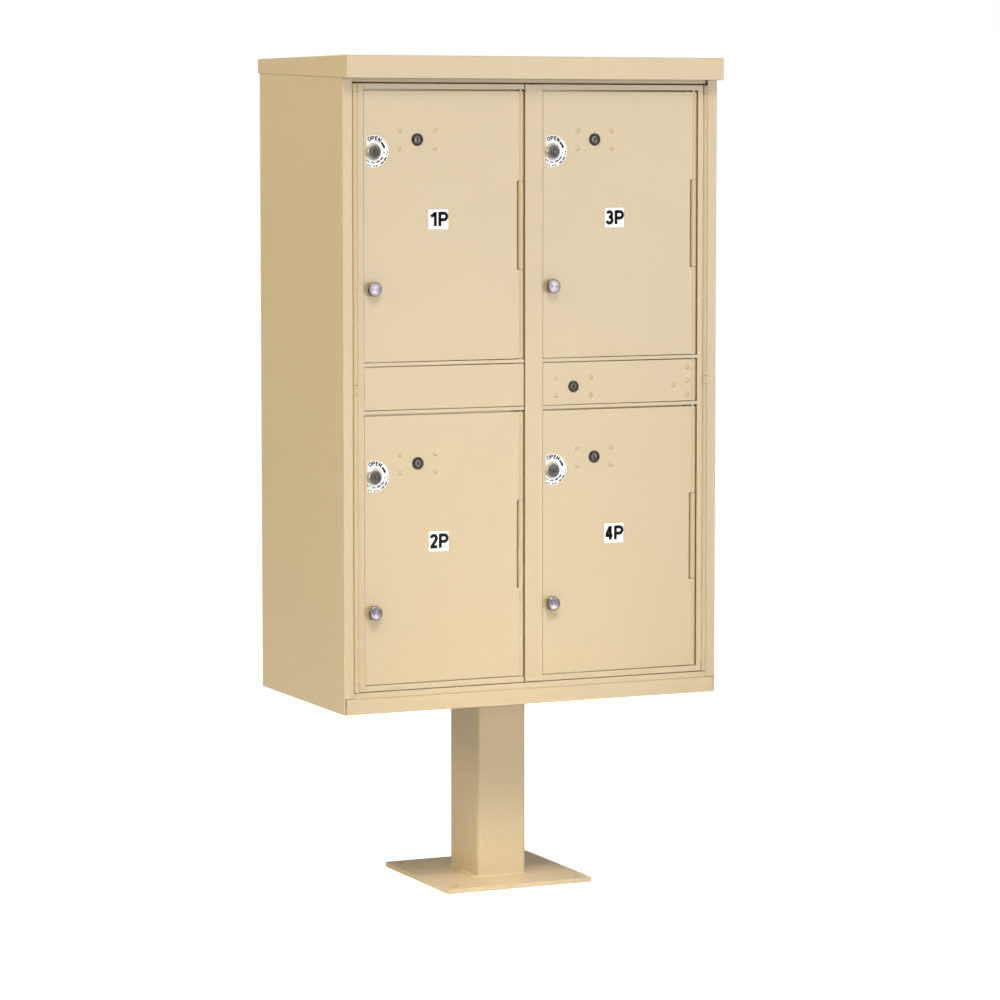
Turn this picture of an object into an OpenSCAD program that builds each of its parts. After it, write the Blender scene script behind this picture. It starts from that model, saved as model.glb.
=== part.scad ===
// Cluster mailbox unit: an outdoor parcel locker with four compartments on a pedestal.
// Units are millimetres, Z is up and -Y is the front. The origin is on the ground, at the
// centre of the roof's footprint.

/* [Cabinet] */
// Width over the two side panels
cabinet_w = 772.3; // [770:0.1:790]
// Depth from the door face to the outside of the back panel
cabinet_d = 424.8; // [380:0.1:480]
// Thickness of the painted body sheet
sheet_t = 3.2; // [2.5:0.1:3.5]
// Height of the trim that the floor pan folds up across the front
trim_h = 29; // [24:0.5:34]
// How far the trim stands in front of the doors
trim_proud = 1.5; // [0.5:0.1:3]
// Visible height of the sill rail above the trim
sill_h = 11.2; // [9:0.1:14]
// Visible height of the head rail under the roof's front skirt
head_h = 7.8; // [6:0.1:12]
// How far the head rail stands back from the door face
head_recess = 6; // [2:0.5:10]

/* [Roof] */
// How far the roof stands out on each side
roof_side = 1.2; // [1:0.1:6]
// How far the roof stands out over the doors
roof_front = 25.4; // [22:0.1:35]
// How far the roof stands out at the back
roof_back = 7; // [4:0.1:12]
// Height of the front skirt
skirt_front_h = 42.1; // [36:0.1:50]
// Height of the skirt at the back, which the side skirts taper to
skirt_back_h = 27; // [20:0.5:34]

/* [Pedestal] */
// Height of the cabinet's underside above the ground
pedestal_h = 365.1; // [300:0.1:700]
// Width of the base plate
plate_w = 304.8; // [260:0.1:360]
// Depth of the base plate
plate_d = 311.2; // [270:0.1:360]
// Thickness of the base plate
plate_t = 9.5; // [6:0.5:14]
// Width of the hollow post
post_w = 101.6; // [80:0.1:120]
// Depth of the hollow post
post_d = 134; // [110:0.5:150]
// Wall of the hollow post
post_wall = 4.8; // [3:0.1:8]
// Distance of the post's centre behind the origin
post_y = 8.5; // [0:0.5:15]
// Radius of each anchor bolt hole
anchor_r = 8.75; // [7:0.05:10]
// Distance of each anchor hole's centre from the plate's edges
anchor_inset = 26; // [20:0.5:32]

/* [Loading doors] */
// Depth of the frame of each large loading door
frame_d = 24; // [22:0.5:26]
// Thickness of the frame's front and flanges
frame_t = 3; // [2.5:0.1:3]
// Height of the bottom rail
bottom_rail_h = 11.2; // [10:0.1:14]
// Height of the two rails beside the middle panel
mid_rail_h = 6.4; // [6:0.1:10]
// Height of the top rail
top_rail_h = 9.7; // [9:0.1:14]
// Height of the middle panel and of the small lock door
panel_h = 79.4; // [76:0.1:100]
// Clearance above and below the loading doors
frame_gap = 1.6; // [1:0.1:3]
// Distance of each loading door's hinge line from the middle
main_hinge_x = 361.2; // [361:0.1:361.3]
// Radius of the loading door knuckles
main_knuckle_r = 4.7; // [4:0.05:4.75]
// Length of each body knuckle, at the top, middle and bottom
main_knuckle_l = 15; // [10:1:25]

/* [Parcel doors] */
// Width of each parcel door, with its hinge roll
door_w = 324.6; // [324.4:0.1:324.8]
// Height of each parcel door
door_h = 500; // [460:1:540]
// Thickness of the door panel
door_t = 3.2; // [3:0.1:3.3]
// Gap under each parcel door
gap_under = 1.5; // [1:0.1:2]
// Gap over each parcel door
gap_over = 3.2; // [2:0.1:4]
// Gap over the middle panel and the small lock door
panel_gap_over = 1.8; // [1.5:0.1:2.5]
// Distance of the outer edge of both door rows from the middle
door_edge_x = 344; // [343.8:0.1:344.2]
// Radius of the hinge roll
roll_r = 6.2; // [6:0.05:6.3]
// Depth of the hinge line behind the door face
roll_d = 4.5; // [4.3:0.1:4.8]
// Length of the frame's knuckle at the middle of each parcel door
frame_knuckle_l = 165; // [120:1:200]
// Radius of the hinge pin
pin_r = 2.4; // [2:0.05:2.6]

/* [Locks and fittings] */
// Distance of the customer lock from the door's free edge
customer_x = 19; // [18:0.1:19.5]
// Distance of the customer lock below the door's top
customer_drop = 113; // [100:0.5:130]
// Distance of the control lock from the door's free edge
control_x = 107; // [100:0.5:112]
// Distance of the control lock below the door's top
control_drop = 90; // [84:0.5:100]
// Distance of the pull knob from the door's free edge
knob_x = 17; // [16:0.1:22]
// Distance of the pull knob below the door's top
knob_drop = 365; // [340:1:400]
// Radius of the pull knob
knob_r = 13.3; // [11:0.1:15]
// How far the pull knob stands out
knob_l = 14.5; // [12:0.1:20]
// Distance of the number plate's centre from the door's free edge
number_x = 150; // [140:0.5:170]
// Distance of the number plate's centre below the door's top
number_drop = 237.5; // [220:0.5:260]
// Width and height of the number plate
number_size = [40.6, 37.8]; // [20:0.1:60]
// Travel of the latch bar and of the slide bolt
latch_travel = 12; // [11:0.5:12]

/* [Hidden] */

round_fn = 64;
small_fn = 32;
cut = 1;

// Colours
paint = "#dfcfb1";
paint_side = "#cfbb8f";
mill = "#b4b7ba";
zinc = "#a8a9a4";
lock_metal = "#5e5852";
lock_core = "#8a8173";
turned = "#d3cfd0";
white = "#f4f4f1";

// Heights of the door rows, above the cabinet's underside
sill_top = trim_h + sill_h;
frame_z0 = sill_top + frame_gap;
lower_cell_z = frame_z0 + bottom_rail_h;
lower_door_z = lower_cell_z + gap_under;
rail_1_z = lower_door_z + door_h + gap_over;
panel_cell_z = rail_1_z + mid_rail_h;
panel_z = panel_cell_z + gap_under;
rail_2_z = panel_z + panel_h + panel_gap_over;
upper_cell_z = rail_2_z + mid_rail_h;
upper_door_z = upper_cell_z + gap_under;
rail_3_z = upper_door_z + door_h + gap_over;
frame_z1 = rail_3_z + top_rail_h;
head_z = frame_z1 + frame_gap;
skirt_z = head_z + head_h;
roof_z = skirt_z + skirt_front_h;
cells = [[lower_cell_z, rail_1_z], [panel_cell_z, rail_2_z], [upper_cell_z, rail_3_z]];

// The roof sits with its footprint centred on the origin
roof_w = cabinet_w + 2 * roof_side;
roof_d = cabinet_d + roof_front + roof_back;
roof_t = 2.5;
front_y = roof_front - roof_d / 2;
side_x = cabinet_w / 2;
wall_x = side_x - sheet_t;

// Floor pan
pan_t = 2.5;
pan_z = 12;
trim_inset = 4.4;
trim_gap = 0.5;

// Pedestal top plate and its bolts
cap_plate = [190, 220, 6.35];
bolt_r = 5;
bolt_hole_r = 5.5;
bolt_at = [74, 82];
washer = [10, 1.6];
bolt_head = [9, 6.4];
post_corner_r = 7;
plate_corner_r = 6;

// Vertical lines on the front
left_offset = 0.2;
left_door_x = -door_edge_x - left_offset;
right_door_x = door_edge_x - door_w;
left_seam_x = left_door_x + door_w;
seam_gap = 2;
edge_gap = 0.4;
hinge_gap = 1.8;
right_seam_x = left_seam_x + seam_gap;
right_mullion_x = right_door_x - edge_gap;
stile_gap = 0.5;
stile_edge_x = main_hinge_x - main_knuckle_r - stile_gap;
corner_gap = 0.3;
corner_x = main_hinge_x + main_knuckle_r + corner_gap;

// Rebate behind the door edges
rebate_d = [4.8, 7.2];
rebate_w = 6.5;
rebate_h = 7.5;
rebate_stop = 18;
backing_d = [12, 14.4];
backing_t = 2.4;
backing_w = 20.4;

// Hinges
pin_fit = 0.02;
pin_run = 0.05;
main_pin_r = 1.75;
knuckle_gap = 0.8;
notch_w = 8.5;
pin_seat = 3;
leaf_d = [5, 22];
leaf_t = 2.5;

// Locks. A face is a base radius, a front radius and a length
customer_face = [14.2, 12, 8];
control_face = [11.5, 11.5, 1.4];
main_face = [10.8, 10.8, 1.2];
barrel_r = 9.5;
barrel_hole_r = 9.6;
control_barrel_d = 22;
plug_r = 6.3;
plug_run = 0.05;
plug_inset = 0.5;
keyway = [1.8, 8, 7.2];
cam_t = 2.5;
cam_tip_r = 5.5;
cam_hub_r = 7;
stem_r = 4;
stem_l = 2.2;
rivet_pitch = [71, 33];
main_rivet_pitch = [73, 33];
bracket = [90, 46, 2];
rivet_r = 2;
rivet_hole_r = 2.1;
main_lock_x = right_door_x + 63.5;
main_lock_z = panel_z + 33.5;

// Rivets near the small lock door's hinge
hinge_rivet_x = right_door_x + door_w - 20;
hinge_rivets = [
    [hinge_rivet_x, panel_z + 12.3],
    [hinge_rivet_x, panel_z + 38.3],
    [hinge_rivet_x, panel_z + 64.3],
    [hinge_rivet_x - 30, panel_z + 31]
];

// Fittings
knob_screw_r = 2.4;
knob_hole_r = 2.6;
number_d = [0.8, 1.6];
number_room = 0.3;

// Latch parts
bar_x = [-10, 5.5];
bar_d = [26, 29];
hook_x = [3, 5.5];
hook_zs = [250, 940];
hook_tip_h = 8;
guide_zs = [130, 690, 1090];
guide_h = 16;
partition_x = [-7.2, -4.8];
strike_r = 2.5;
strike_d = 38.5;
inner_d = 34;
shelf_t = 2;
bolt_bar_x = [-34, -26];
bolt_bar_d = [26, 30];
bolt_guide_zs = [frame_z1 - 100, frame_z1 - 40];
// Gap of a joint that is riveted or screwed, so that both sides stay separate solids
loose = 0.05;

// Upper doors are 1 and 3, and lower doors are 2 and 4
function door_x(n) = n < 3 ? left_door_x : right_door_x;
function door_z(n) = n % 2 == 1 ? upper_door_z : lower_door_z;
function roll_x(x0) = x0 + door_w - roll_r;
function knuckle_z0(z0) = z0 + (door_h - frame_knuckle_l) / 2;

// Cabinet space: x as it is, y from the door face backwards, z from the cabinet's underside
module in_cabinet() {
    translate([0, front_y, pedestal_h]) children();
}

// A block between two limits on each axis
module block(x, y, z) {
    translate([x[0], y[0], z[0]]) cube([x[1] - x[0], y[1] - y[0], z[1] - z[0]]);
}

// A rectangle between two limits on each axis
module patch(a, b) {
    translate([a[0], b[0]]) square([a[1] - a[0], b[1] - b[0]]);
}

// Carries a section in depth and height along X
module along_x(x) {
    translate([x[0], 0, 0]) rotate([90, 0, 90]) linear_extrude(x[1] - x[0]) children();
}

// Carries a plan outline up from z[0] to z[1]
module along_z(z) {
    translate([0, 0, z[0]]) linear_extrude(z[1] - z[0]) children();
}

// A straight rod that runs back from the front
module rod(x, z, y, r, fn = round_fn) {
    translate([x, y[0], z]) rotate([-90, 0, 0]) cylinder(h = y[1] - y[0], r = r, $fn = fn);
}

// A vertical rod
module post_rod(x, y, z, r, fn = small_fn) {
    translate([x, y, z[0]]) cylinder(h = z[1] - z[0], r = r, $fn = fn);
}

// A plate with rounded corners, seen in plan
module rounded_patch(w, d, r) {
    square([w - 2 * r, d], center = true);
    square([w, d - 2 * r], center = true);
    for (x = [-1, 1], y = [-1, 1]) {
        translate([x * (w / 2 - r), y * (d / 2 - r)]) circle(r = r, $fn = round_fn);
    }
}

// ---- Pedestal ----

module pedestal_base_plate() {
    hole_x = plate_w / 2 - anchor_inset;
    hole_y = plate_d / 2 - anchor_inset;
    color(paint) translate([0, post_y, 0]) difference() {
        linear_extrude(plate_t) rounded_patch(plate_w, plate_d, plate_corner_r);
        for (x = [-1, 1], y = [-1, 1]) {
            translate([x * hole_x, y * hole_y, -cut])
                cylinder(h = plate_t + 2 * cut, r = anchor_r, $fn = round_fn);
        }
    }
}

module pedestal_post() {
    post_top = pedestal_h + pan_z - cap_plate[2];
    color(paint) translate([0, post_y, plate_t]) linear_extrude(post_top - plate_t) difference() {
        rounded_patch(post_w, post_d, post_corner_r);
        rounded_patch(post_w - 2 * post_wall, post_d - 2 * post_wall, post_corner_r - post_wall);
    }
}

module bolt_places() {
    for (x = [-1, 1], y = [-1, 1]) {
        translate([x * bolt_at[0], post_y + y * bolt_at[1], pedestal_h]) children();
    }
}

module pedestal_top_plate() {
    color(paint) difference() {
        translate([0, post_y, pedestal_h + pan_z - cap_plate[2]])
            linear_extrude(cap_plate[2]) rounded_patch(cap_plate[0], cap_plate[1], plate_corner_r);
        bolt_places() cylinder(h = pan_z + cut, r = bolt_hole_r, $fn = small_fn);
    }
}

// Four bolts, each with a washer and a nut, hold the cabinet to the pedestal
module cabinet_bolts() {
    over_z = pan_z + pan_t;
    under_z = pan_z - cap_plate[2] - washer[1];
    nut_h = 8;
    tail = 2;
    thread_room = 0.1;
    color(zinc) bolt_places() {
        difference() {
            translate([0, 0, over_z]) cylinder(h = washer[1], r = washer[0], $fn = small_fn);
            translate([0, 0, over_z - cut])
                cylinder(h = washer[1] + 2 * cut, r = bolt_hole_r, $fn = small_fn);
        }
        translate([0, 0, over_z + washer[1]]) cylinder(h = bolt_head[1], r = bolt_head[0], $fn = 6);
        translate([0, 0, under_z - nut_h - tail])
            cylinder(h = over_z + 2 * washer[1] - under_z + nut_h + tail, r = bolt_r, $fn = small_fn);
        difference() {
            union() {
                translate([0, 0, under_z]) cylinder(h = washer[1], r = washer[0], $fn = small_fn);
                translate([0, 0, under_z - nut_h]) cylinder(h = nut_h, r = bolt_head[0], $fn = 6);
            }
            translate([0, 0, under_z - nut_h - cut])
                cylinder(h = nut_h + washer[1] + 2 * cut, r = bolt_r + thread_room, $fn = small_fn);
        }
    }
}

// ---- Cabinet shell ----

// The floor sheet turns down at the sides and the back, and up and down as the front trim
module floor_pan() {
    back_d = cabinet_d - sheet_t;
    color(paint) difference() {
        in_cabinet() {
            block([-wall_x, wall_x], [pan_t, back_d], [pan_z, pan_z + pan_t]);
            for (s = [-1, 1]) {
                block(s < 0 ? [-wall_x, pan_t - wall_x] : [wall_x - pan_t, wall_x],
                      [pan_t, back_d], [0, pan_z + pan_t]);
            }
            block([-wall_x, wall_x], [back_d - pan_t, back_d], [0, pan_z + pan_t]);
            block([trim_inset - side_x, side_x - trim_inset],
                  [-trim_proud, pan_t - trim_proud], [0, trim_h]);
            block([-wall_x, wall_x], [0, pan_t], [pan_z, pan_z + pan_t]);
        }
        bolt_places() cylinder(h = pan_z + pan_t + cut, r = bolt_hole_r, $fn = small_fn);
    }
}

// A side wall whose front edge folds in as the corner flange and then back as a return
module side_panel() {
    flange_x = [corner_x, side_x];
    flange_z = trim_h + trim_gap;
    color(paint_side) in_cabinet() {
        block([wall_x, side_x], [0, cabinet_d], [0, roof_z - roof_t]);
        block(flange_x, [0, sheet_t], [flange_z, roof_z - roof_t]);
        block([flange_x[0], flange_x[0] + sheet_t], [0, frame_d], [flange_z, roof_z - roof_t]);
    }
}

module back_panel() {
    color(paint_side) in_cabinet() {
        block([-wall_x, wall_x], [cabinet_d - sheet_t, cabinet_d], [0, roof_z - roof_t]);
    }
}

// A folded cap, with side skirts that taper towards the back
module roof_cap() {
    skirt_t = roof_side;
    color(paint) translate([0, 0, pedestal_h]) difference() {
        along_x([-roof_w / 2, roof_w / 2]) polygon([
            [-roof_d / 2, roof_z],
            [roof_d / 2, roof_z],
            [roof_d / 2, roof_z - skirt_back_h],
            [-roof_d / 2, roof_z - skirt_front_h]
        ]);
        block([skirt_t - roof_w / 2, roof_w / 2 - skirt_t],
              [skirt_t - roof_d / 2, roof_d / 2 - skirt_t],
              [0, roof_z - roof_t]);
    }
}

// The fixed rail above the trim
module sill_rail() {
    foot_d = [pan_t - trim_proud, pan_t + 1];
    ledge_d = [0, 30];
    color(paint) in_cabinet() along_x([-corner_x, corner_x]) {
        patch(foot_d, [pan_z + pan_t, trim_h + trim_gap]);
        patch([0, frame_t], [trim_h + trim_gap, sill_top]);
        patch(ledge_d, [sill_top - frame_t, sill_top]);
    }
}

// The recessed rail behind the roof's skirt. The slide bolt shoots up behind its flange
module head_rail() {
    flange_end = bolt_bar_d[0] - 1;
    color(paint) in_cabinet() along_x([-corner_x, corner_x]) {
        patch([head_recess, head_recess + frame_t], [head_z, roof_z - roof_t]);
        patch([head_recess, flange_end], [head_z, head_z + frame_t]);
    }
}

// The wall between the two columns, with the riveted studs that the latch bar hooks on
module centre_partition() {
    stud_l = 14;
    stud_room = 0.5;
    stud_lift = latch_travel + strike_r + stud_room;
    color(mill) in_cabinet() {
        block(partition_x, [inner_d, cabinet_d - sheet_t], [pan_z + pan_t, head_z]);
        for (z = hook_zs) {
            translate([partition_x[1] + loose, strike_d, z + stud_lift])
                rotate([0, 90, 0]) cylinder(h = stud_l, r = strike_r, $fn = small_fn);
        }
    }
}

// Eight sheets: a floor and a ceiling for each compartment
module compartment_shelves() {
    sheet_zs = [frame_z0 + 6, rail_1_z + 2, rail_2_z + 2, rail_3_z + 2];
    hem_h = 8;
    hem_inset = 20;
    color(mill) in_cabinet() {
        for (z = sheet_zs, x = [[-wall_x, partition_x[0]], [partition_x[1], wall_x]]) {
            block(x, [inner_d, cabinet_d - sheet_t], [z, z + shelf_t]);
            block([x[0] + hem_inset, x[1] - hem_inset], [inner_d, inner_d + shelf_t],
                  [z - hem_h, z + shelf_t]);
        }
    }
}

// ---- Loading door hinges ----

function main_knuckles() = [
    [frame_z0, frame_z0 + main_knuckle_l],
    [(frame_z0 + frame_z1 - main_knuckle_l) / 2, (frame_z0 + frame_z1 + main_knuckle_l) / 2],
    [frame_z1 - main_knuckle_l, frame_z1]
];

// A leaf on each side panel's return, with knuckles at its top, middle and bottom
module body_hinge_leaves() {
    leaf_x = [corner_x - leaf_t, corner_x];
    strap_d = [0.5, leaf_d[0]];
    color(paint) in_cabinet() for (s = [0, 1]) mirror([s, 0, 0]) difference() {
        union() {
            block(leaf_x, leaf_d, [frame_z0, frame_z1]);
            for (z = main_knuckles()) {
                post_rod(main_hinge_x, 0, z, main_knuckle_r);
                block([main_hinge_x, leaf_x[1]], strap_d, z);
            }
        }
        post_rod(main_hinge_x, 0, [frame_z0 - cut, frame_z1 + cut], main_pin_r + pin_fit);
    }
}

module loading_door_hinge_pins() {
    color(zinc) in_cabinet() for (s = [-1, 1]) {
        post_rod(s * main_hinge_x, 0, [frame_z0, frame_z1], main_pin_r);
    }
}

// The long knuckles of one loading door, on its outer stile, for a door hinged at +X
module main_door_knuckles() {
    body = main_knuckles();
    difference() {
        union() {
            for (i = [0, 1]) {
                z = [body[i][1] + knuckle_gap, body[i + 1][0] - knuckle_gap];
                post_rod(main_hinge_x, 0, z, main_knuckle_r);
                block([stile_edge_x - cut, main_hinge_x], [0, frame_t], z);
            }
        }
        post_rod(main_hinge_x, 0, [frame_z0 - cut, frame_z1 + cut], main_pin_r + pin_run);
    }
}

// ---- Loading door frames ----

// The channel behind a column of hinge rolls, with the frame's own knuckles. x1 is its edge
module hinge_backing(x1, hinge_x, z_doors) {
    x0 = x1 - backing_w;
    web_w = 6;
    for (c = cells) {
        along_z(c) {
            patch([x0, x1], backing_d);
            patch([x0, x0 + backing_t], [backing_d[1], frame_d]);
            patch([x1 - backing_t, x1], [backing_d[1], frame_d]);
        }
    }
    for (z0 = z_doors) {
        z = [knuckle_z0(z0), knuckle_z0(z0) + frame_knuckle_l];
        difference() {
            union() {
                post_rod(hinge_x, roll_d, z, roll_r, round_fn);
                block([hinge_x - web_w / 2, hinge_x + web_w / 2], [roll_d, backing_d[1]], z);
            }
            post_rod(hinge_x, roll_d, [z[0] - cut, z[1] + cut], pin_r + pin_fit);
        }
    }
}

// The rebate strip on a stile's edge, one length in each cell
module stile_rebate(x) {
    for (c = cells) {
        along_z(c) patch(x, rebate_d);
    }
}

module left_door_stiles() {
    outer_x1 = left_door_x - edge_gap;
    color(paint) in_cabinet() {
        along_z([frame_z0, frame_z1]) {
            patch([-stile_edge_x, outer_x1], [0, frame_t]);
            patch([outer_x1 - frame_t, outer_x1], [0, frame_d]);
        }
        stile_rebate([outer_x1 - cut, outer_x1 + rebate_w]);
        mirror([1, 0, 0]) main_door_knuckles();
        hinge_backing(left_seam_x, roll_x(left_door_x), [lower_door_z, upper_door_z]);
        slide_bolt_guides();
    }
}

module right_door_stiles() {
    outer_x0 = door_edge_x + hinge_gap;
    color(paint) in_cabinet() {
        along_z([frame_z0, frame_z1]) {
            patch([right_seam_x, right_mullion_x], [0, frame_t]);
            patch([right_seam_x, right_seam_x + frame_t], [0, frame_d]);
            patch([right_mullion_x - frame_t, right_mullion_x], [0, frame_d]);
            patch([outer_x0, stile_edge_x], [0, frame_t]);
            patch([outer_x0, outer_x0 + frame_t], [0, frame_d]);
        }
        stile_rebate([right_mullion_x - cut, right_mullion_x + rebate_w]);
        main_door_knuckles();
        hinge_backing(outer_x0, roll_x(right_door_x), [lower_door_z, upper_door_z]);
        main_lock_strike();
        latch_guides();
    }
}

// A rail of the loading door. lips says which sides carry a rebate strip: below, above
module frame_rail(x, lip_x, z, lips, hinge_x, hollow) {
    difference() {
        union() {
            along_x(x) difference() {
                patch([0, frame_d], z);
                if (hollow) {
                    patch([frame_t, frame_d + cut], [z[0] + frame_t, z[1] - frame_t]);
                }
            }
            along_x(lip_x) {
                if (lips[0]) {
                    patch(rebate_d, [z[0] - rebate_h, z[0]]);
                }
                if (lips[1]) {
                    patch(rebate_d, [z[1], z[1] + rebate_h]);
                }
            }
        }
        if (lips[0]) {
            post_rod(hinge_x, roll_d, [z[0] - cut, z[0] + pin_seat], pin_r + pin_fit);
        }
        if (lips[1]) {
            post_rod(hinge_x, roll_d, [z[1] - pin_seat, z[1] + cut], pin_r + pin_fit);
        }
    }
}

module frame_rails(x, lip_x, hinge_x) {
    rails = [
        [[frame_z0, lower_cell_z], [false, true], true],
        [[rail_1_z, panel_cell_z], [true, true], false],
        [[rail_2_z, upper_cell_z], [true, true], false],
        [[rail_3_z, frame_z1], [true, false], true]
    ];
    for (r = rails) {
        frame_rail(x, lip_x, r[0], r[1], hinge_x, r[2]);
    }
}

module left_door_rails() {
    x0 = left_door_x - edge_gap;
    lip_x = [x0 + rebate_w, roll_x(left_door_x) - rebate_stop];
    color(paint) in_cabinet() frame_rails([x0, left_seam_x], lip_x, roll_x(left_door_x));
}

module right_door_rails() {
    x1 = door_edge_x + hinge_gap;
    lip_x = [right_mullion_x + rebate_w, roll_x(right_door_x) - rebate_stop];
    color(paint) in_cabinet() frame_rails([right_mullion_x, x1], lip_x, roll_x(right_door_x));
}

// The blank panel between the two left doors, which sits on the rebate strips
module left_middle_panel() {
    side_gap = 0.8;
    x = [left_door_x, left_seam_x - side_gap];
    hem_h = 4;
    hem_x = [x[0] + 10, x[1] - 30];
    color(paint) in_cabinet() {
        block(x, [0, door_t], [panel_z, panel_z + panel_h]);
        for (z = [panel_z, panel_z + panel_h - hem_h]) {
            block(hem_x, [door_t, rebate_d[0]], [z, z + hem_h]);
        }
    }
}

module left_parcel_hinge_pins() {
    color(zinc) in_cabinet() for (i = [0, 2]) {
        post_rod(roll_x(left_door_x), roll_d, [cells[i][0] - pin_seat, cells[i][1] + pin_seat], pin_r);
    }
}

module right_parcel_hinge_pins() {
    pins = [
        [cells[0][0] - pin_seat, cells[0][1] + pin_seat],
        [cells[1][0] - pin_seat, cells[1][1] + pin_seat],
        [cells[2][0] - pin_seat, cells[2][1] + pin_seat]
    ];
    color(zinc) in_cabinet() for (z = pins) {
        post_rod(roll_x(right_door_x), roll_d, z, pin_r);
    }
}

// ---- Latches behind the loading doors ----

// A riveted strap that keeps a bar against the back of a stile
module strap(x, slot_x, slot_d, z) {
    wall = 2;
    room = 0.3;
    lap = 4;
    difference() {
        block(x, [frame_d - lap, slot_d[1] + wall], z);
        block([slot_x[0] - room, slot_x[1] + room], [slot_d[0] - room, slot_d[1] + room],
              [z[0] - cut, z[1] + cut]);
    }
}

module latch_guides() {
    for (z = guide_zs) {
        strap([right_seam_x + frame_t + loose, right_mullion_x - frame_t - loose], bar_x, bar_d,
              [z, z + guide_h]);
    }
}

module slide_bolt_guides() {
    side_t = backing_t + loose;
    for (z = bolt_guide_zs) {
        strap([left_seam_x - backing_w + side_t, left_seam_x - side_t], bolt_bar_x, bolt_bar_d,
              [z, z + guide_h]);
    }
}

// The tongue that the main lock's cam turns behind
module main_lock_strike() {
    tongue_h = 14;
    tongue_d = [18.5, 21.5];
    tongue_end = main_lock_x - 19;
    block([right_mullion_x - cut, tongue_end], tongue_d,
          [main_lock_z - tongue_h / 2, main_lock_z + tongue_h / 2]);
}

// An upturned hook, riveted to the back of the latch bar at height z
module latch_hook(z) {
    foot_t = 3;
    foot_z = z - 10;
    arm_z = z - 5;
    tip_room = 0.8;
    tip_t = 2.7;
    tip_d = strike_d + strike_r + tip_room;
    block(hook_x, [bar_d[1] + loose, bar_d[1] + foot_t], [foot_z, z + hook_tip_h]);
    block(hook_x, [bar_d[1] + loose, tip_d + tip_t], [arm_z, z]);
    block(hook_x, [tip_d, tip_d + tip_t], [arm_z, z + hook_tip_h]);
}

// A full-height bar with two hooks and a finger tab behind the small lock door
module latch_bar() {
    bar_z = [70, 1120];
    tab_x = 44;
    tab_z = [panel_z + 52, panel_z + 68];
    grip_t = 3;
    grip_d = [bar_d[0] - 7, bar_d[1]];
    color(zinc) in_cabinet() {
        block(bar_x, bar_d, bar_z);
        block([bar_x[1] + loose, tab_x], bar_d, tab_z);
        block([tab_x - grip_t, tab_x], grip_d, tab_z);
        for (z = hook_zs) {
            latch_hook(z);
        }
    }
}

// A slide bolt with a thumb piece, which shoots up behind the head rail's flange
module left_slide_bolt() {
    top_gap = 2;
    top_z = frame_z1 - top_gap;
    bolt_l = 150;
    thumb_t = 1.5;
    thumb_z = [top_z - 80, top_z - 66];
    color(zinc) in_cabinet() {
        block(bolt_bar_x, bolt_bar_d, [top_z - bolt_l, top_z]);
        block(bolt_bar_x, [bolt_bar_d[1] - cut, bolt_bar_d[1] + thumb_t], thumb_z);
    }
}

// ---- Parcel doors ----

// A rolled knuckle on a door's hinge edge
module door_roll(x0, z) {
    difference() {
        union() {
            post_rod(roll_x(x0), roll_d, z, roll_r, round_fn);
            block([roll_x(x0) - notch_w - cut, roll_x(x0)], [0, door_t], z);
        }
        post_rod(roll_x(x0), roll_d, [z[0] - cut, z[1] + cut], pin_r + pin_run);
    }
}

module rivet_places(x, z, pitch) {
    for (i = [-1, 1], j = [-1, 1]) {
        translate([x + i * pitch[0] / 2, 0, z + j * pitch[1] / 2]) children();
    }
}

module parcel_door(n) {
    x0 = door_x(n);
    z0 = door_z(n);
    z1 = z0 + door_h;
    knuckle = [knuckle_z0(z0) - knuckle_gap, knuckle_z0(z0) + frame_knuckle_l + knuckle_gap];
    recess = [for (size = number_size) size / 2 + number_room];
    color(paint) in_cabinet() {
        difference() {
            block([x0, roll_x(x0) - notch_w], [0, door_t], [z0, z1]);
            rod(x0 + customer_x, z1 - customer_drop, [-cut, door_t + cut], barrel_hole_r);
            rod(x0 + control_x, z1 - control_drop, [-cut, door_t + cut], barrel_hole_r);
            rivet_places(x0 + control_x, z1 - control_drop, rivet_pitch)
                rod(0, 0, [-cut, door_t + cut], rivet_hole_r, small_fn);
            rod(x0 + knob_x, z1 - knob_drop, [-cut, door_t + cut], knob_hole_r, small_fn);
            block([x0 + number_x - recess[0], x0 + number_x + recess[0]], [-cut, number_d[1]],
                  [z1 - number_drop - recess[1], z1 - number_drop + recess[1]]);
        }
        door_roll(x0, [z0, knuckle[0]]);
        door_roll(x0, [knuckle[1], z1]);
    }
}

// ---- Locks ----

// A lock barrel with its face flange, bored for the plug
module lock_barrel(x, z, face, back_d) {
    difference() {
        union() {
            lock_face(x, z, face);
            rod(x, z, [0, back_d], barrel_r);
        }
        rod(x, z, [-face[2] - cut, back_d + cut], plug_r + plug_run);
    }
}

// The part of a lock that stands out in front of its door
module lock_face(x, z, face) {
    translate([x, 0, z]) rotate([90, 0, 0])
        cylinder(h = face[2], r1 = face[0], r2 = face[1], $fn = round_fn);
}

// A hexagon nut round a lock barrel, with its flats upright
module lock_nut(x, z, d, across_r) {
    difference() {
        translate([x, d[0] + loose, z]) rotate([-90, 0, 0]) rotate([0, 0, 30])
            cylinder(h = d[1] - d[0], r = across_r, $fn = 6);
        rod(x, z, [d[0] - cut, d[1] + cut], barrel_r + loose);
    }
}

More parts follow.
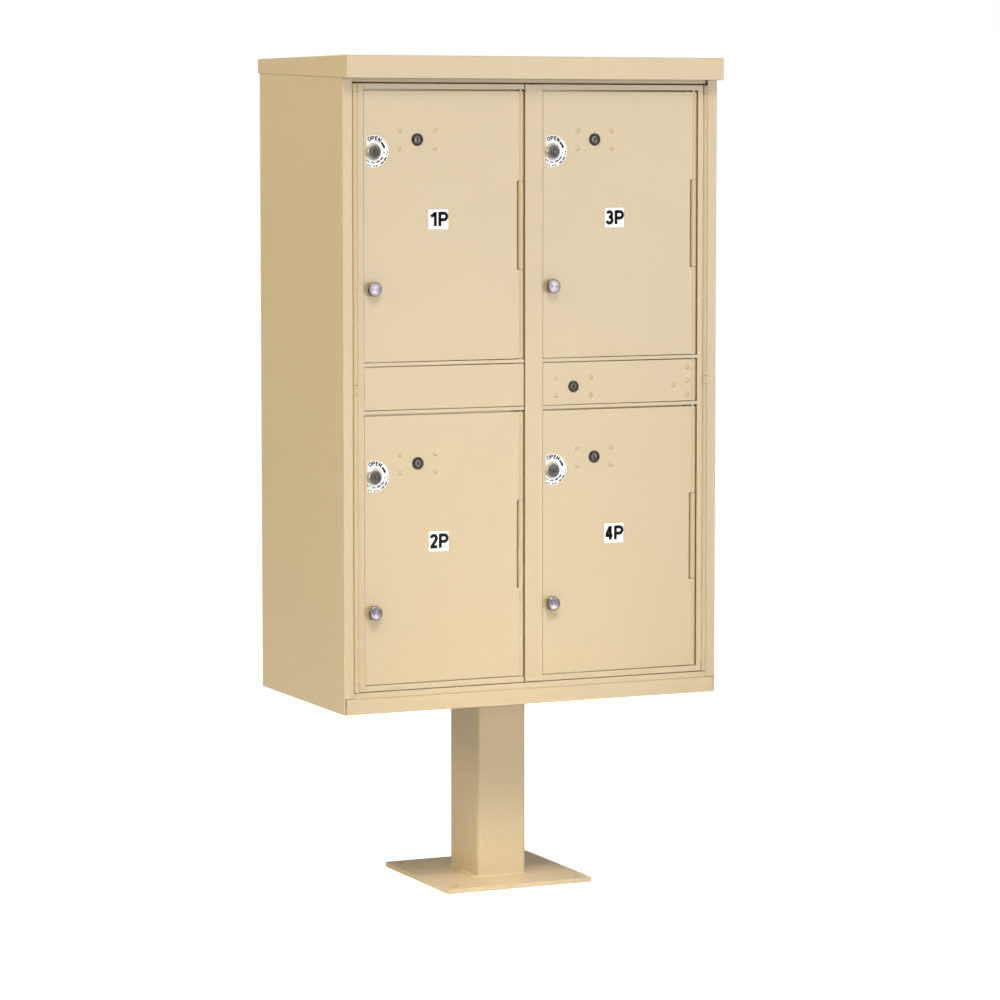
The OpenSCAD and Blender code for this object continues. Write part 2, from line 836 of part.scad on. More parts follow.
// A plug with a keyway in its face, and a cam that hangs down when it is unlocked
module lock_plug(x, z, face, cam_d, reach) {
    front_d = plug_inset - face[2];
    difference() {
        rod(x, z, [front_d, cam_d], plug_r);
        block([x - keyway[0] / 2, x + keyway[0] / 2], [front_d - cut, front_d + keyway[1]],
              [z - keyway[2] / 2, z + keyway[2] / 2]);
    }
    rod(x, z, [cam_d - cut, cam_d + cam_t + stem_l], stem_r);
    translate([x, cam_d, z]) rotate([-90, 0, 0]) linear_extrude(cam_t) {
        circle(r = cam_hub_r, $fn = round_fn);
        translate([-cam_tip_r, 0]) square([2 * cam_tip_r, reach - cam_tip_r]);
        translate([0, reach - cam_tip_r]) circle(r = cam_tip_r, $fn = round_fn);
    }
}

module customer_lock(n) {
    x = door_x(n) + customer_x;
    z = door_z(n) + door_h - customer_drop;
    nut_t = 5;
    nut_r = 11.5;
    color(lock_metal) in_cabinet() {
        lock_barrel(x, z, customer_face, frame_d);
        lock_nut(x, z, [door_t, door_t + nut_t], nut_r);
    }
}

module customer_plug(n) {
    x = door_x(n) + customer_x;
    z = door_z(n) + door_h - customer_drop;
    cam_gap = 1.4;
    cam_reach = 28;
    color(lock_core) in_cabinet() lock_plug(x, z, customer_face, frame_d + cam_gap, cam_reach);
}

// The plate inside a door that its lock's four rivets hold
module lock_bracket(x, z, pitch) {
    difference() {
        block([x - bracket[0] / 2, x + bracket[0] / 2], [door_t, door_t + bracket[2]],
              [z - bracket[1] / 2, z + bracket[1] / 2]);
        rod(x, z, [0, 10], barrel_hole_r);
        rivet_places(x, z, pitch) rod(0, 0, [0, 10], rivet_hole_r, small_fn);
    }
}

module control_lock(n) {
    x = door_x(n) + control_x;
    z = door_z(n) + door_h - control_drop;
    back = door_t + bracket[2];
    nut_t = 4;
    nut_r = 12.5;
    color(lock_metal) in_cabinet() {
        lock_barrel(x, z, control_face, control_barrel_d);
        lock_nut(x, z, [back, back + nut_t], nut_r);
        lock_bracket(x, z, rivet_pitch);
    }
}

module control_plug(n) {
    x = door_x(n) + control_x;
    z = door_z(n) + door_h - control_drop;
    cam_gap = 1.4;
    cam_reach = 22;
    color(lock_core) in_cabinet()
        lock_plug(x, z, control_face, control_barrel_d + cam_gap, cam_reach);
}

// A rivet with a low dome in front and a flat upset head behind
module rivet(grip) {
    dome_r = 4.7;
    dome_h = 1.5;
    steps = 5;
    tail_r = 3.4;
    tail_z = -grip - 1.6;
    rotate([90, 0, 0]) rotate_extrude($fn = small_fn) polygon(concat(
        [[0, dome_h]],
        [for (i = [1:steps]) [dome_r * sin(90 * i / steps), dome_h * cos(90 * i / steps)]],
        [[rivet_r, 0], [rivet_r, -grip], [tail_r, -grip], [tail_r, tail_z], [0, tail_z]]
    ));
}

module lock_rivets(n) {
    x = door_x(n) + control_x;
    z = door_z(n) + door_h - control_drop;
    color(paint) in_cabinet() rivet_places(x, z, rivet_pitch) rivet(door_t + bracket[2]);
}

// ---- Fittings ----

// A turned knob with a hollow neck, and the screw that holds it from inside
module pull_knob(n) {
    x = door_x(n) + knob_x;
    z = door_z(n) + door_h - knob_drop;
    foot_r = 8;
    neck_r = 6.5;
    neck_z = [2, 5];
    head_z0 = 7;
    edge = 1.2;
    dish_r = knob_r - 4;
    bore_r = knob_screw_r + 0.1;
    bore_l = 9;
    screw_l = 8.5;
    screw_head = [5, 3];
    color(turned) in_cabinet() {
        translate([x, 0, z]) rotate([90, 0, 0]) rotate_extrude($fn = round_fn) polygon([
            [bore_r, 0], [foot_r, 0], [neck_r, neck_z[0]], [neck_r, neck_z[1]],
            [knob_r - edge, head_z0], [knob_r, head_z0 + edge], [knob_r, knob_l - edge],
            [knob_r - edge, knob_l - 0.3], [dish_r, knob_l], [0, knob_l],
            [0, bore_l], [bore_r, bore_l]
        ]);
        rod(x, z, [-screw_l, door_t], knob_screw_r, small_fn);
        rod(x, z, [door_t, door_t + screw_head[1]], screw_head[0], small_fn);
    }
}

module number_plate(n) {
    x = door_x(n) + number_x;
    z = door_z(n) + door_h - number_drop;
    color(white) in_cabinet() {
        block([x - number_size[0] / 2, x + number_size[0] / 2], number_d,
              [z - number_size[1] / 2, z + number_size[1] / 2]);
    }
}

// ---- Small lock door ----

module lock_door() {
    x0 = right_door_x;
    z = [panel_z, panel_z + panel_h];
    color(paint) in_cabinet() {
        difference() {
            block([x0, roll_x(x0) - notch_w], [0, door_t], z);
            rod(main_lock_x, main_lock_z, [-cut, door_t + cut], barrel_hole_r);
            rivet_places(main_lock_x, main_lock_z, main_rivet_pitch)
                rod(0, 0, [-cut, door_t + cut], rivet_hole_r, small_fn);
            for (p = hinge_rivets) {
                rod(p[0], p[1], [-cut, door_t + cut], rivet_hole_r, small_fn);
            }
        }
        door_roll(x0, z);
    }
}

module lock_door_rivets() {
    color(paint) in_cabinet() {
        rivet_places(main_lock_x, main_lock_z, main_rivet_pitch) rivet(door_t + bracket[2]);
        for (p = hinge_rivets) {
            translate([p[0], 0, p[1]]) rivet(door_t);
        }
    }
}

module main_lock_case() {
    case_size = [30, 38];
    case_x = [main_lock_x - case_size[0] / 2, main_lock_x + case_size[0] / 2];
    case_z = [main_lock_z - case_size[1] / 2, main_lock_z + case_size[1] / 2];
    case_d = [door_t + bracket[2], 20];
    color(lock_metal) in_cabinet() {
        difference() {
            union() {
                lock_face(main_lock_x, main_lock_z, main_face);
                rod(main_lock_x, main_lock_z, [0, case_d[0]], barrel_r);
                block(case_x, case_d, case_z);
            }
            rod(main_lock_x, main_lock_z, [-main_face[2] - cut, case_d[1] + cut],
                plug_r + plug_run);
        }
        lock_bracket(main_lock_x, main_lock_z, main_rivet_pitch);
    }
}

module main_lock_plug() {
    cam_d = 23;
    cam_reach = 26;
    color(lock_core) in_cabinet()
        lock_plug(main_lock_x, main_lock_z, main_face, cam_d, cam_reach);
}

pedestal_base_plate();
pedestal_post();
pedestal_top_plate();
cabinet_bolts();
floor_pan();
mirror([1, 0, 0]) side_panel();  // left_side_panel
side_panel();  // right_side_panel
back_panel();
roof_cap();
sill_rail();
head_rail();
centre_partition();
compartment_shelves();
body_hinge_leaves();
loading_door_hinge_pins();
left_door_stiles();
left_door_rails();
left_middle_panel();
left_parcel_hinge_pins();
left_slide_bolt();
right_door_stiles();
right_door_rails();
right_parcel_hinge_pins();
latch_bar();
lock_door();
lock_door_rivets();
main_lock_case();
main_lock_plug();
parcel_door(1);  // parcel_door_1
customer_lock(1);  // customer_lock_1
customer_plug(1);  // customer_plug_1
control_lock(1);  // control_lock_1
control_plug(1);  // control_plug_1
lock_rivets(1);  // lock_rivets_1
pull_knob(1);  // pull_knob_1
number_plate(1);  // number_plate_1
parcel_door(2);  // parcel_door_2
customer_lock(2);  // customer_lock_2
customer_plug(2);  // customer_plug_2
control_lock(2);  // control_lock_2
control_plug(2);  // control_plug_2
lock_rivets(2);  // lock_rivets_2
pull_knob(2);  // pull_knob_2
number_plate(2);  // number_plate_2
parcel_door(3);  // parcel_door_3
customer_lock(3);  // customer_lock_3
customer_plug(3);  // customer_plug_3
control_lock(3);  // control_lock_3
control_plug(3);  // control_plug_3
lock_rivets(3);  // lock_rivets_3
pull_knob(3);  // pull_knob_3
number_plate(3);  // number_plate_3
parcel_door(4);  // parcel_door_4
customer_lock(4);  // customer_lock_4
customer_plug(4);  // customer_plug_4
control_lock(4);  // control_lock_4
control_plug(4);  // control_plug_4
lock_rivets(4);  // lock_rivets_4
pull_knob(4);  // pull_knob_4
number_plate(4);  // number_plate_4
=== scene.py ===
"""Looks of a cluster mailbox unit: a painted sheet cabinet with four parcel compartments on a post.

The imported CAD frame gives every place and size. Each sub-assembly is a class that builds its
meshes and dresses them, and every piece rides on the CAD body that it belongs to.
Lengths are metres, Z is up and -Y is the front.
"""

import logging
import math
from dataclasses import dataclass, field
from enum import Enum, auto
from typing import Sequence

import bmesh
import bpy
import numpy as np
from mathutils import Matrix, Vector


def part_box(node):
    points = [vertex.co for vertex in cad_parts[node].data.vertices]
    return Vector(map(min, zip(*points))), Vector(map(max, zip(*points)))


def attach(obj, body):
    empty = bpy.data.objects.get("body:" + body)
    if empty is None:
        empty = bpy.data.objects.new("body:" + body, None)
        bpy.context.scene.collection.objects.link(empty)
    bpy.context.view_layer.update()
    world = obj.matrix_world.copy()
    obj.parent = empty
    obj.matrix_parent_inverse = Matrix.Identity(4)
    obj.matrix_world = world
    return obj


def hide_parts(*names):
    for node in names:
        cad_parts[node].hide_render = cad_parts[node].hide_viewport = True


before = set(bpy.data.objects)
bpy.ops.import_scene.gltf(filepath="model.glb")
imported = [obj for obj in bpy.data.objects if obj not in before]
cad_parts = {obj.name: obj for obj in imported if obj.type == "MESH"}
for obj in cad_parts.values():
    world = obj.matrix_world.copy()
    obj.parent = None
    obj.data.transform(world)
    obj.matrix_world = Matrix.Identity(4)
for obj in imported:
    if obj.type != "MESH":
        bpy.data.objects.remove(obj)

LOG = logging.getLogger("mailbox")
MM = 0.001
WELD = 1e-6
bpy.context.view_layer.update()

Colour = tuple[float, float, float]
Place = tuple[float, float, float]
Surface = tuple[np.ndarray, np.ndarray]


# ---- Finishes ----


class Graph:
    """A material's node tree, with short calls that add and join its nodes."""

    def __init__(self, name: str) -> None:
        """Starts an empty material with one shader.

        Args:
            name: the material's name.
        """
        self.material = bpy.data.materials.new(name)
        self.material.use_nodes = True
        self.tree = self.material.node_tree
        self.shader = self.tree.nodes["Principled BSDF"]

    def add(self, kind: str, settings: dict | None = None, **inputs: object) -> bpy.types.Node:
        """Adds a node.

        Args:
            kind: the node's type.
            settings: the node's own properties.
            inputs: values or sockets for its inputs, by name with _ for a space.

        Returns:
            The new node.
        """
        node = self.tree.nodes.new(kind)
        for key, value in (settings or {}).items():
            setattr(node, key, value)
        for key, value in inputs.items():
            self.feed(node.inputs[key.replace("_", " ")], value)
        return node

    def feed(self, socket: bpy.types.NodeSocket, value: object) -> None:
        """Joins another socket to an input, or sets the input to a value.

        Args:
            socket: the input.
            value: an output socket, or a plain value.
        """
        if isinstance(value, bpy.types.NodeSocket):
            self.tree.links.new(value, socket)
        else:
            socket.default_value = value

    def place(self, stretch: Place = (1, 1, 1), source: str = "Object") -> bpy.types.NodeSocket:
        """Pattern coordinates, scaled along each axis.

        Args:
            stretch: the scale along x, y and z.
            source: the Texture Coordinate output that is read.

        Returns:
            The Mapping node's output.
        """
        coords = self.add("ShaderNodeTexCoord")
        mapping = self.add("ShaderNodeMapping", Vector=coords.outputs[source], Scale=stretch)
        return mapping.outputs["Vector"]

    def noise(self, where: bpy.types.NodeSocket, scale: float, detail: float = 2) -> bpy.types.NodeSocket:
        """A noise pattern.

        Args:
            where: its coordinates.
            scale: repeats in a metre.
            detail: number of finer layers.

        Returns:
            The noise value's socket.
        """
        return self.add("ShaderNodeTexNoise", Vector=where, Scale=scale, Detail=detail).outputs["Fac"]

    def spread(self, value: bpy.types.NodeSocket, low: float, high: float,
               start: float = 0.3, end: float = 0.7) -> bpy.types.NodeSocket:
        """Maps a pattern's value from start..end to low..high.

        Args:
            value: the pattern.
            low: result at start.
            high: result at end.
            start: lowest value that is mapped.
            end: highest value that is mapped.

        Returns:
            The mapped value's socket.
        """
        node = self.add("ShaderNodeMapRange", Value=value, From_Min=start, From_Max=end,
                        To_Min=low, To_Max=high)
        return node.outputs["Result"]

    def sum(self, operation: str, *values: object) -> bpy.types.NodeSocket:
        """Works out a value from others.

        Args:
            operation: the Math node's operation.
            values: sockets or numbers.

        Returns:
            The result's socket.
        """
        node = self.add("ShaderNodeMath", {"operation": operation})
        for socket, value in zip(node.inputs, values):
            self.feed(socket, value)
        return node.outputs[0]

    def blend(self, share: object, first: Colour, second: Colour) -> bpy.types.NodeSocket:
        """Mixes two colours by a pattern.

        Args:
            share: how much of the second colour shows.
            first: colour where the share is 0.
            second: colour where the share is 1.

        Returns:
            The colour's socket.
        """
        node = self.add("ShaderNodeMix", {"data_type": "RGBA"})
        self.feed(node.inputs["Factor"], share)
        node.inputs[6].default_value = (*first, 1)
        node.inputs[7].default_value = (*second, 1)
        return node.outputs[2]

    def bump(self, height: bpy.types.NodeSocket, depth: float, strength: float = 1.0,
             under: bpy.types.NodeSocket | None = None) -> bpy.types.NodeSocket:
        """Turns a height pattern into a bumped normal.

        Args:
            height: the pattern.
            depth: its height in metres.
            strength: how much of it shows.
            under: the normal that it is laid over.

        Returns:
            The normal's socket.
        """
        node = self.add("ShaderNodeBump", Strength=strength, Distance=depth, Height=height)
        if under is not None:
            self.feed(node.inputs["Normal"], under)
        return node.outputs["Normal"]

    def finish(self, **inputs: object) -> bpy.types.Material:
        """Sets the shader's inputs.

        Args:
            inputs: values or sockets, by name with _ for a space.

        Returns:
            The finished material.
        """
        for key, value in inputs.items():
            self.feed(self.shader.inputs[key.replace("_", " ")], value)
        return self.material


@dataclass(frozen=True)
class PowderCoat:
    """Baked powder paint on sheet: a fine orange peel, faint clouds and specks of flow."""

    colour: Colour = (0.505, 0.389, 0.223)
    cloud: Colour = (0.488, 0.374, 0.211)
    roughness: tuple[float, float] = (0.28, 0.37)
    peel_scale: float = 380.0
    peel_depth: float = 0.00016

    def material(self, name: str) -> bpy.types.Material:
        """Makes the material.

        Args:
            name: the material's name.

        Returns:
            The material.
        """
        graph = Graph(name)
        where = graph.place()
        peel = graph.noise(where, self.peel_scale, 2)
        clouds = graph.spread(graph.noise(where, 2.6, 3), 0.0, 0.75)
        specks = graph.spread(graph.noise(where, 1500.0, 1), 0.0, 0.25)
        return graph.finish(
            Base_Color=graph.blend(graph.sum("ADD", clouds, specks), self.colour, self.cloud),
            Roughness=graph.spread(peel, *self.roughness),
            Specular_IOR_Level=0.5,
            Normal=graph.bump(peel, self.peel_depth, 0.6),
        )


@dataclass(frozen=True)
class DrawnMetal:
    """Rolled, drawn or plated metal: a grain along one axis, and clouds of handling."""

    colour: Colour
    cloud: Colour
    roughness: tuple[float, float] = (0.32, 0.5)
    grain: Place = (40.0, 900.0, 900.0)
    depth: float = 0.00004

    def material(self, name: str) -> bpy.types.Material:
        """Makes the material.

        Args:
            name: the material's name.

        Returns:
            The material.
        """
        graph = Graph(name)
        where = graph.place()
        grain = graph.noise(graph.place(self.grain), 1.0, 3)
        clouds = graph.noise(where, 9.0, 4)
        return graph.finish(
            Base_Color=graph.blend(graph.spread(clouds, 0, 1), self.colour, self.cloud),
            Metallic=1.0,
            Roughness=graph.spread(grain, *self.roughness),
            Normal=graph.bump(grain, self.depth, 0.5),
        )


@dataclass(frozen=True)
class TurnedMetal:
    """Metal from a lathe: fine rings that follow the piece's own map, a satin sheen, and optional darker
    bands of painted reflection across the face.
    """

    colour: Colour
    groove: Colour
    roughness: tuple[float, float] = (0.16, 0.3)
    rings: float = 55.0
    depth: float = 0.00003
    # Depth of the two painted dark reflection bands; 0 leaves them out.
    fan: float = 0.0

    def material(self, name: str) -> bpy.types.Material:
        """Makes the material.

        Args:
            name: the material's name.

        Returns:
            The material.
        """
        graph = Graph(name)
        rings = graph.noise(graph.place((0.4, self.rings, 1), "UV"), 1.0, 3)
        marks = graph.spread(graph.noise(graph.place(), 260.0, 3), 0, 1, 0.4, 0.8)
        return graph.finish(
            Base_Color=graph.blend(self.fans(graph, marks), self.colour, self.groove),
            Metallic=1.0,
            Roughness=graph.spread(rings, *self.roughness),
            Anisotropic=0.3,
            Normal=graph.bump(rings, self.depth, 0.7),
        )

    def fans(self, graph: Graph, marks: bpy.types.NodeSocket) -> bpy.types.NodeSocket:
        """Adds two darker bands of painted reflection, at the sides of a turned face, to the marks.

        The painted bands follow (1 - cos(4 pi u)) / 2, where u is the turn round the piece from 0 to 1.

        Args:
            graph: the material's graph.
            marks: the share of the darker colour so far.

        Returns:
            The share of the darker colour with the painted reflection bands.
        """
        turn = graph.add("ShaderNodeSeparateXYZ", Vector=graph.place(source="UV")).outputs["X"]
        angle = graph.sum("MULTIPLY", turn, 4 * math.pi)
        # Painted reflection: darker at the turned face's sides (u = 0.25 and 0.75), lighter at top and
        # bottom.
        painted_dark_band = graph.spread(graph.sum("COSINE", angle), self.fan, 0.0, -1.0, 1.0)
        return graph.sum("ADD", painted_dark_band, marks)


@dataclass(frozen=True)
class CastMetal:
    """Dark die-cast lock metal: a grainy skin with rubbed, lighter patches."""

    colour: Colour
    rubbed: Colour
    roughness: tuple[float, float] = (0.28, 0.46)

    def material(self, name: str) -> bpy.types.Material:
        """Makes the material.

        Args:
            name: the material's name.

        Returns:
            The material.
        """
        graph = Graph(name)
        where = graph.place()
        skin = graph.noise(where, 1400.0, 3)
        rubs = graph.noise(where, 160.0, 4)
        return graph.finish(
            Base_Color=graph.blend(graph.spread(rubs, 0, 1, 0.4, 0.75), self.colour, self.rubbed),
            Metallic=1.0,
            Roughness=graph.spread(skin, *self.roughness),
            Normal=graph.bump(skin, 0.00003, 0.5),
        )


@dataclass(frozen=True)
class PrintedFilm:
    """Vinyl, enamel, ink, or black that stands for painted shade: a dull or glossy plastic skin with a faint
    fleck.
    """

    colour: Colour
    fleck: Colour
    roughness: tuple[float, float] = (0.3, 0.42)
    scale: float = 700.0
    depth: float = 0.00002
    gloss: float = 0.5

    def material(self, name: str) -> bpy.types.Material:
        """Makes the material.

        Args:
            name: the material's name.

        Returns:
            The material.
        """
        graph = Graph(name)
        where = graph.place()
        grain = graph.noise(where, self.scale, 2)
        stains = graph.noise(where, 45.0, 3)
        return graph.finish(
            Base_Color=graph.blend(graph.spread(stains, 0, 1), self.colour, self.fleck),
            Roughness=graph.spread(grain, *self.roughness),
            Specular_IOR_Level=self.gloss,
            Normal=graph.bump(grain, self.depth, 0.5),
        )


Finish = PowderCoat | DrawnMetal | TurnedMetal | CastMetal | PrintedFilm


class Look(Enum):
    """The finishes that a piece can have."""

    PAINT = auto()
    ALUMINIUM = auto()
    ZINC = auto()
    LOCK = auto()
    LOCK_RIM = auto()
    WASHER = auto()
    CORE = auto()
    TURNED = auto()
    PLATE = auto()
    DECAL = auto()
    INK = auto()
    # Flat black that stands for painted shade.
    PAINTED_SHADE = auto()


@dataclass(frozen=True)
class Coat:
    """A finish, and the record's material slot that it belongs to."""

    slot: str
    finish: Finish


COATS: dict[Look, Coat] = {
    Look.PAINT: Coat("body_paint", PowderCoat()),
    Look.ALUMINIUM: Coat("mill_aluminium", DrawnMetal((0.62, 0.63, 0.64), (0.52, 0.53, 0.54))),
    Look.ZINC: Coat("zinc_steel", DrawnMetal((0.60, 0.60, 0.57), (0.50, 0.51, 0.52), (0.25, 0.4),
                                             (900.0, 900.0, 40.0))),
    Look.LOCK: Coat("lock_metal", CastMetal((0.022, 0.019, 0.017), (0.07, 0.063, 0.056))),
    Look.LOCK_RIM: Coat("lock_metal", TurnedMetal((0.13, 0.12, 0.112), (0.075, 0.068, 0.063), (0.2, 0.34))),
    Look.WASHER: Coat("lock_metal", TurnedMetal((0.62, 0.6, 0.575), (0.5, 0.48, 0.455), (0.34, 0.46))),
    Look.CORE: Coat("lock_core", CastMetal((0.045, 0.037, 0.031), (0.13, 0.112, 0.097), (0.24, 0.4))),
    # The knob's turned metal carries the painted reflection bands.
    Look.TURNED: Coat("turned_metal", TurnedMetal((0.31, 0.265, 0.285), (0.14, 0.118, 0.126), (0.24, 0.36),
                                                  fan=0.9)),
    Look.PLATE: Coat("white_plate", PrintedFilm((0.86, 0.86, 0.85), (0.81, 0.81, 0.79))),
    Look.DECAL: Coat("white_plate", PrintedFilm((0.84, 0.83, 0.81), (0.78, 0.77, 0.74), (0.35, 0.5))),
    Look.INK: Coat("white_plate", PrintedFilm((0.008, 0.008, 0.008), (0.014, 0.014, 0.014), (0.4, 0.55),
                                               gloss=0.04)),
    # Painted shade: flat black standing for the shade down the customer lock's groove, not a part of its own.
    Look.PAINTED_SHADE: Coat("lock_metal", PrintedFilm((0.012, 0.012, 0.012), (0.022, 0.021, 0.02), (0.6, 0.75),
                                                1200.0, 0.00006)),
}


class Paintshop:
    """Keeps one material for each look."""

    def __init__(self) -> None:
        """Starts with no materials."""
        self.made: dict[Look, bpy.types.Material] = {}

    def material(self, look: Look) -> bpy.types.Material:
        """The material of a look, made at its first use.

        Args:
            look: the look.

        Returns:
            The material.
        """
        if look not in self.made:
            self.made[look] = COATS[look].finish.material(look.name.lower())
        return self.made[look]


SHOP = Paintshop()


# ---- Surfaces ----


def grid_mesh(name: str, grids: Sequence[Surface],
              sharp_angle: float = 32.0) -> bpy.types.Object:
    """Makes an object from surfaces that are worked out on grids.

    Point (i, j) of a grid joins (i + 1, j), (i + 1, j + 1) and (i, j + 1) in one face. Seams
    and poles, where points meet, are merged, and then the faces are turned outwards.

    Args:
        name: the object's name.
        grids: pairs of points (rows, columns, 3) and of the map (rows, columns, 2).
        sharp_angle: edges that turn by more than this many degrees stay crisp.

    Returns:
        The object, linked into the scene.
    """
    points, maps, faces, start = [], [], [], 0
    for place, chart in grids:
        rows, columns = place.shape[:2]
        index = start + np.arange(rows * columns).reshape(rows, columns)
        quads = np.stack([index[:-1, :-1], index[1:, :-1], index[1:, 1:], index[:-1, 1:]], axis=-1)
        points.append(place.reshape(-1, 3))
        maps.append(chart.reshape(-1, 2))
        faces.append(quads.reshape(-1, 4))
        start += rows * columns
    corner = np.concatenate(faces)
    mesh = bpy.data.meshes.new(name)
    mesh.from_pydata(np.concatenate(points).tolist(), [], corner.tolist())
    layer = mesh.uv_layers.new(name="map")
    layer.data.foreach_set("uv", np.concatenate(maps)[corner.ravel()].ravel())
    tidy_faces(mesh, sharp_angle)
    thing = bpy.data.objects.new(name, mesh)
    bpy.context.scene.collection.objects.link(thing)
    return thing


def tidy_faces(mesh: bpy.types.Mesh, sharp_angle: float) -> None:
    """Merges doubled points, drops faces without area, turns faces outwards and shades them.

    Args:
        mesh: the mesh.
        sharp_angle: edges that turn by more than this many degrees stay crisp.
    """
    shape = bmesh.new()
    shape.from_mesh(mesh)
    bmesh.ops.remove_doubles(shape, verts=shape.verts, dist=WELD)
    bmesh.ops.dissolve_degenerate(shape, edges=shape.edges, dist=WELD)
    bmesh.ops.recalc_face_normals(shape, faces=shape.faces)
    for face in shape.faces:
        face.smooth = True
    shape.to_mesh(mesh)
    shape.free()
    mesh.set_sharp_from_angle(angle=math.radians(sharp_angle))


def turned(profile: Sequence[tuple[float, float]], centre: Place, steps: int = 64,
           closed: bool = False) -> Surface:
    """A surface turned about a line along Y.

    A profile point is (radius, height in front of the centre), both in millimetres. At the
    angle a it lies at x + r sin a, z + r cos a and y - h.

    Args:
        profile: the profile's points.
        centre: the place of radius 0 and height 0.
        steps: faces round the line.
        closed: True where the last point joins the first, as on a ring.

    Returns:
        The grid's points and its map: turn, and length along the profile in centimetres.
    """
    line = np.array([*profile, profile[0]] if closed else profile, float) * MM
    angle = np.linspace(0.0, 2.0 * np.pi, steps + 1)
    radius, height = line[:, :1], line[:, 1:]
    place = np.stack([
        centre[0] + radius * np.sin(angle),
        centre[1] - height * np.ones_like(angle),
        centre[2] + radius * np.cos(angle),
    ], axis=-1)
    length = np.concatenate([[0.0], np.cumsum(np.linalg.norm(np.diff(line, axis=0), axis=1))])
    chart = np.stack(np.broadcast_arrays(angle / (2 * np.pi), length[:, None] * 100.0), axis=-1)
    return place, chart


def flat_band(centre: Place, turn: np.ndarray, inner: np.ndarray, outer: np.ndarray,
              thickness: float) -> Surface:
    """A thin flat band round a point of a face, as a closed skin.

    Its section at each turn angle is the rectangle from the inner to the outer radius and from
    the face to the thickness. Where both radii are equal the band ends in an edge.

    Args:
        centre: the middle, on the face that the band lies on.
        turn: clockwise angles from the top, in radians.
        inner: inner radius at each angle, in metres.
        outer: outer radius at each angle, in metres.
        thickness: how far it stands out, in metres.

    Returns:
        The grid's points and its map.
    """
    radius = np.stack([inner, outer, outer, inner, inner], axis=1)
    height = np.array([0.0, 0.0, thickness, thickness, 0.0]) * np.ones_like(radius)
    angle = turn[:, None]
    place = np.stack([
        centre[0] + radius * np.sin(angle),
        centre[1] - height,
        centre[2] + radius * np.cos(angle),
    ], axis=-1)
    chart = np.stack([radius * 10.0, np.broadcast_to(angle, radius.shape)], axis=-1)
    return place, chart


def round_ended(turn: np.ndarray, radius: float, half: float) -> np.ndarray:
    """Half width of a stroke with round ends, along an arc.

    Within one half width s of an end it is half * sqrt(1 - (1 - s / half)^2).

    Args:
        turn: the angles along the arc, in radians.
        radius: the arc's radius.
        half: half of the stroke's width.

    Returns:
        The half width at each angle.
    """
    run = (turn - turn[0]) * radius
    near = np.minimum(run, run[-1] - run)
    return half * np.sqrt(np.clip(1.0 - (1.0 - np.clip(near / half, 0, 1)) ** 2, 0, 1))


def rounded_rectangle(width: float, depth: float, corner: float,
                      count: int) -> Surface:
    """Even steps round a rectangle with round corners, and the outward direction at each.

    Four quarter circles are joined in order, and the line is then cut at even lengths.

    Args:
        width: size along x.
        depth: size along y.
        corner: corner radius.
        count: number of steps.

    Returns:
        Points (count + 1, 2) and unit outward directions (count + 1, 2).
    """
    turn = np.linspace(0, 2 * np.pi, 4 * 24, endpoint=False) + np.pi / 96
    out = np.stack([np.cos(turn), np.sin(turn)], axis=1)
    middle = np.sign(out) * np.array([width / 2 - corner, depth / 2 - corner])
    line = middle + corner * out
    line, out = np.vstack([line, line[:1]]), np.vstack([out, out[:1]])
    length = np.concatenate([[0], np.cumsum(np.linalg.norm(np.diff(line, axis=0), axis=1))])
    even = np.linspace(0, length[-1], count + 1)
    path = np.stack([np.interp(even, length, line[:, k]) for k in range(2)], axis=1)
    side = np.stack([np.interp(even, length, out[:, k]) for k in range(2)], axis=1)
    return path, side / np.linalg.norm(side, axis=1, keepdims=True)


def weld_bead(middle: tuple[float, float], size: tuple[float, float], corner: float, floor: float,
              leg: float, up: int) -> Surface:
    """A rippled bead round the foot of a rectangular post.

    A circle of radius leg (1 + 0.1 |sin|) is carried round the post's outline, with its centre
    a third of a leg outside the wall and off the floor, so that it stands as a convex fillet.

    Args:
        middle: the post's centre in x and y.
        size: the post's size in x and y.
        corner: the post's corner radius.
        floor: height of the plate's face.
        leg: size of the bead.
        up: 1 where the bead is on top of the plate, -1 where it hangs under it.

    Returns:
        The grid's points and its map.
    """
    path, side = rounded_rectangle(size[0], size[1], corner, 520)
    ripple = np.abs(np.sin(np.linspace(0, 150 * np.pi, len(path))))
    radius = (leg * 0.72 * (1.0 + 0.1 * ripple))[:, None]
    angle = np.linspace(0, 2 * np.pi, 13)
    outward = leg * 0.1 + radius * np.cos(angle)
    rise = leg * 0.1 + radius * np.sin(angle)
    place = np.stack([
        middle[0] + path[:, :1] + side[:, :1] * outward,
        middle[1] + path[:, 1:] + side[:, 1:] * outward,
        floor + up * rise,
    ], axis=-1)
    chart = np.stack(np.broadcast_arrays(np.arange(len(path))[:, None] / 50.0, angle / 6.3), axis=-1)
    return place, chart


def arc(centre: tuple[float, float], radii: tuple[float, float], start: float, end: float) -> np.ndarray:
    """Points on an ellipse's arc: centre + (rx cos a, ry sin a).

    Args:
        centre: its middle.
        radii: rx and ry.
        start: first angle in degrees, anticlockwise from +x.
        end: last angle in degrees.

    Returns:
        The points (n, 2), about 6 degrees apart.
    """
    angle = np.radians(np.linspace(start, end, int(abs(end - start) / 6) + 2))
    return np.stack([centre[0] + radii[0] * np.cos(angle), centre[1] + radii[1] * np.sin(angle)], axis=1)


def line(*corners: tuple[float, float]) -> np.ndarray:
    """The corner points of a bent line, as an array.

    Args:
        corners: its points.

    Returns:
        The points (n, 2).
    """
    return np.array(corners, float)


P_BOWL = np.vstack([line((0.09, 0.91)), arc((0.4, 0.68), (0.225, 0.23), 90, -90), line((0.09, 0.45))])

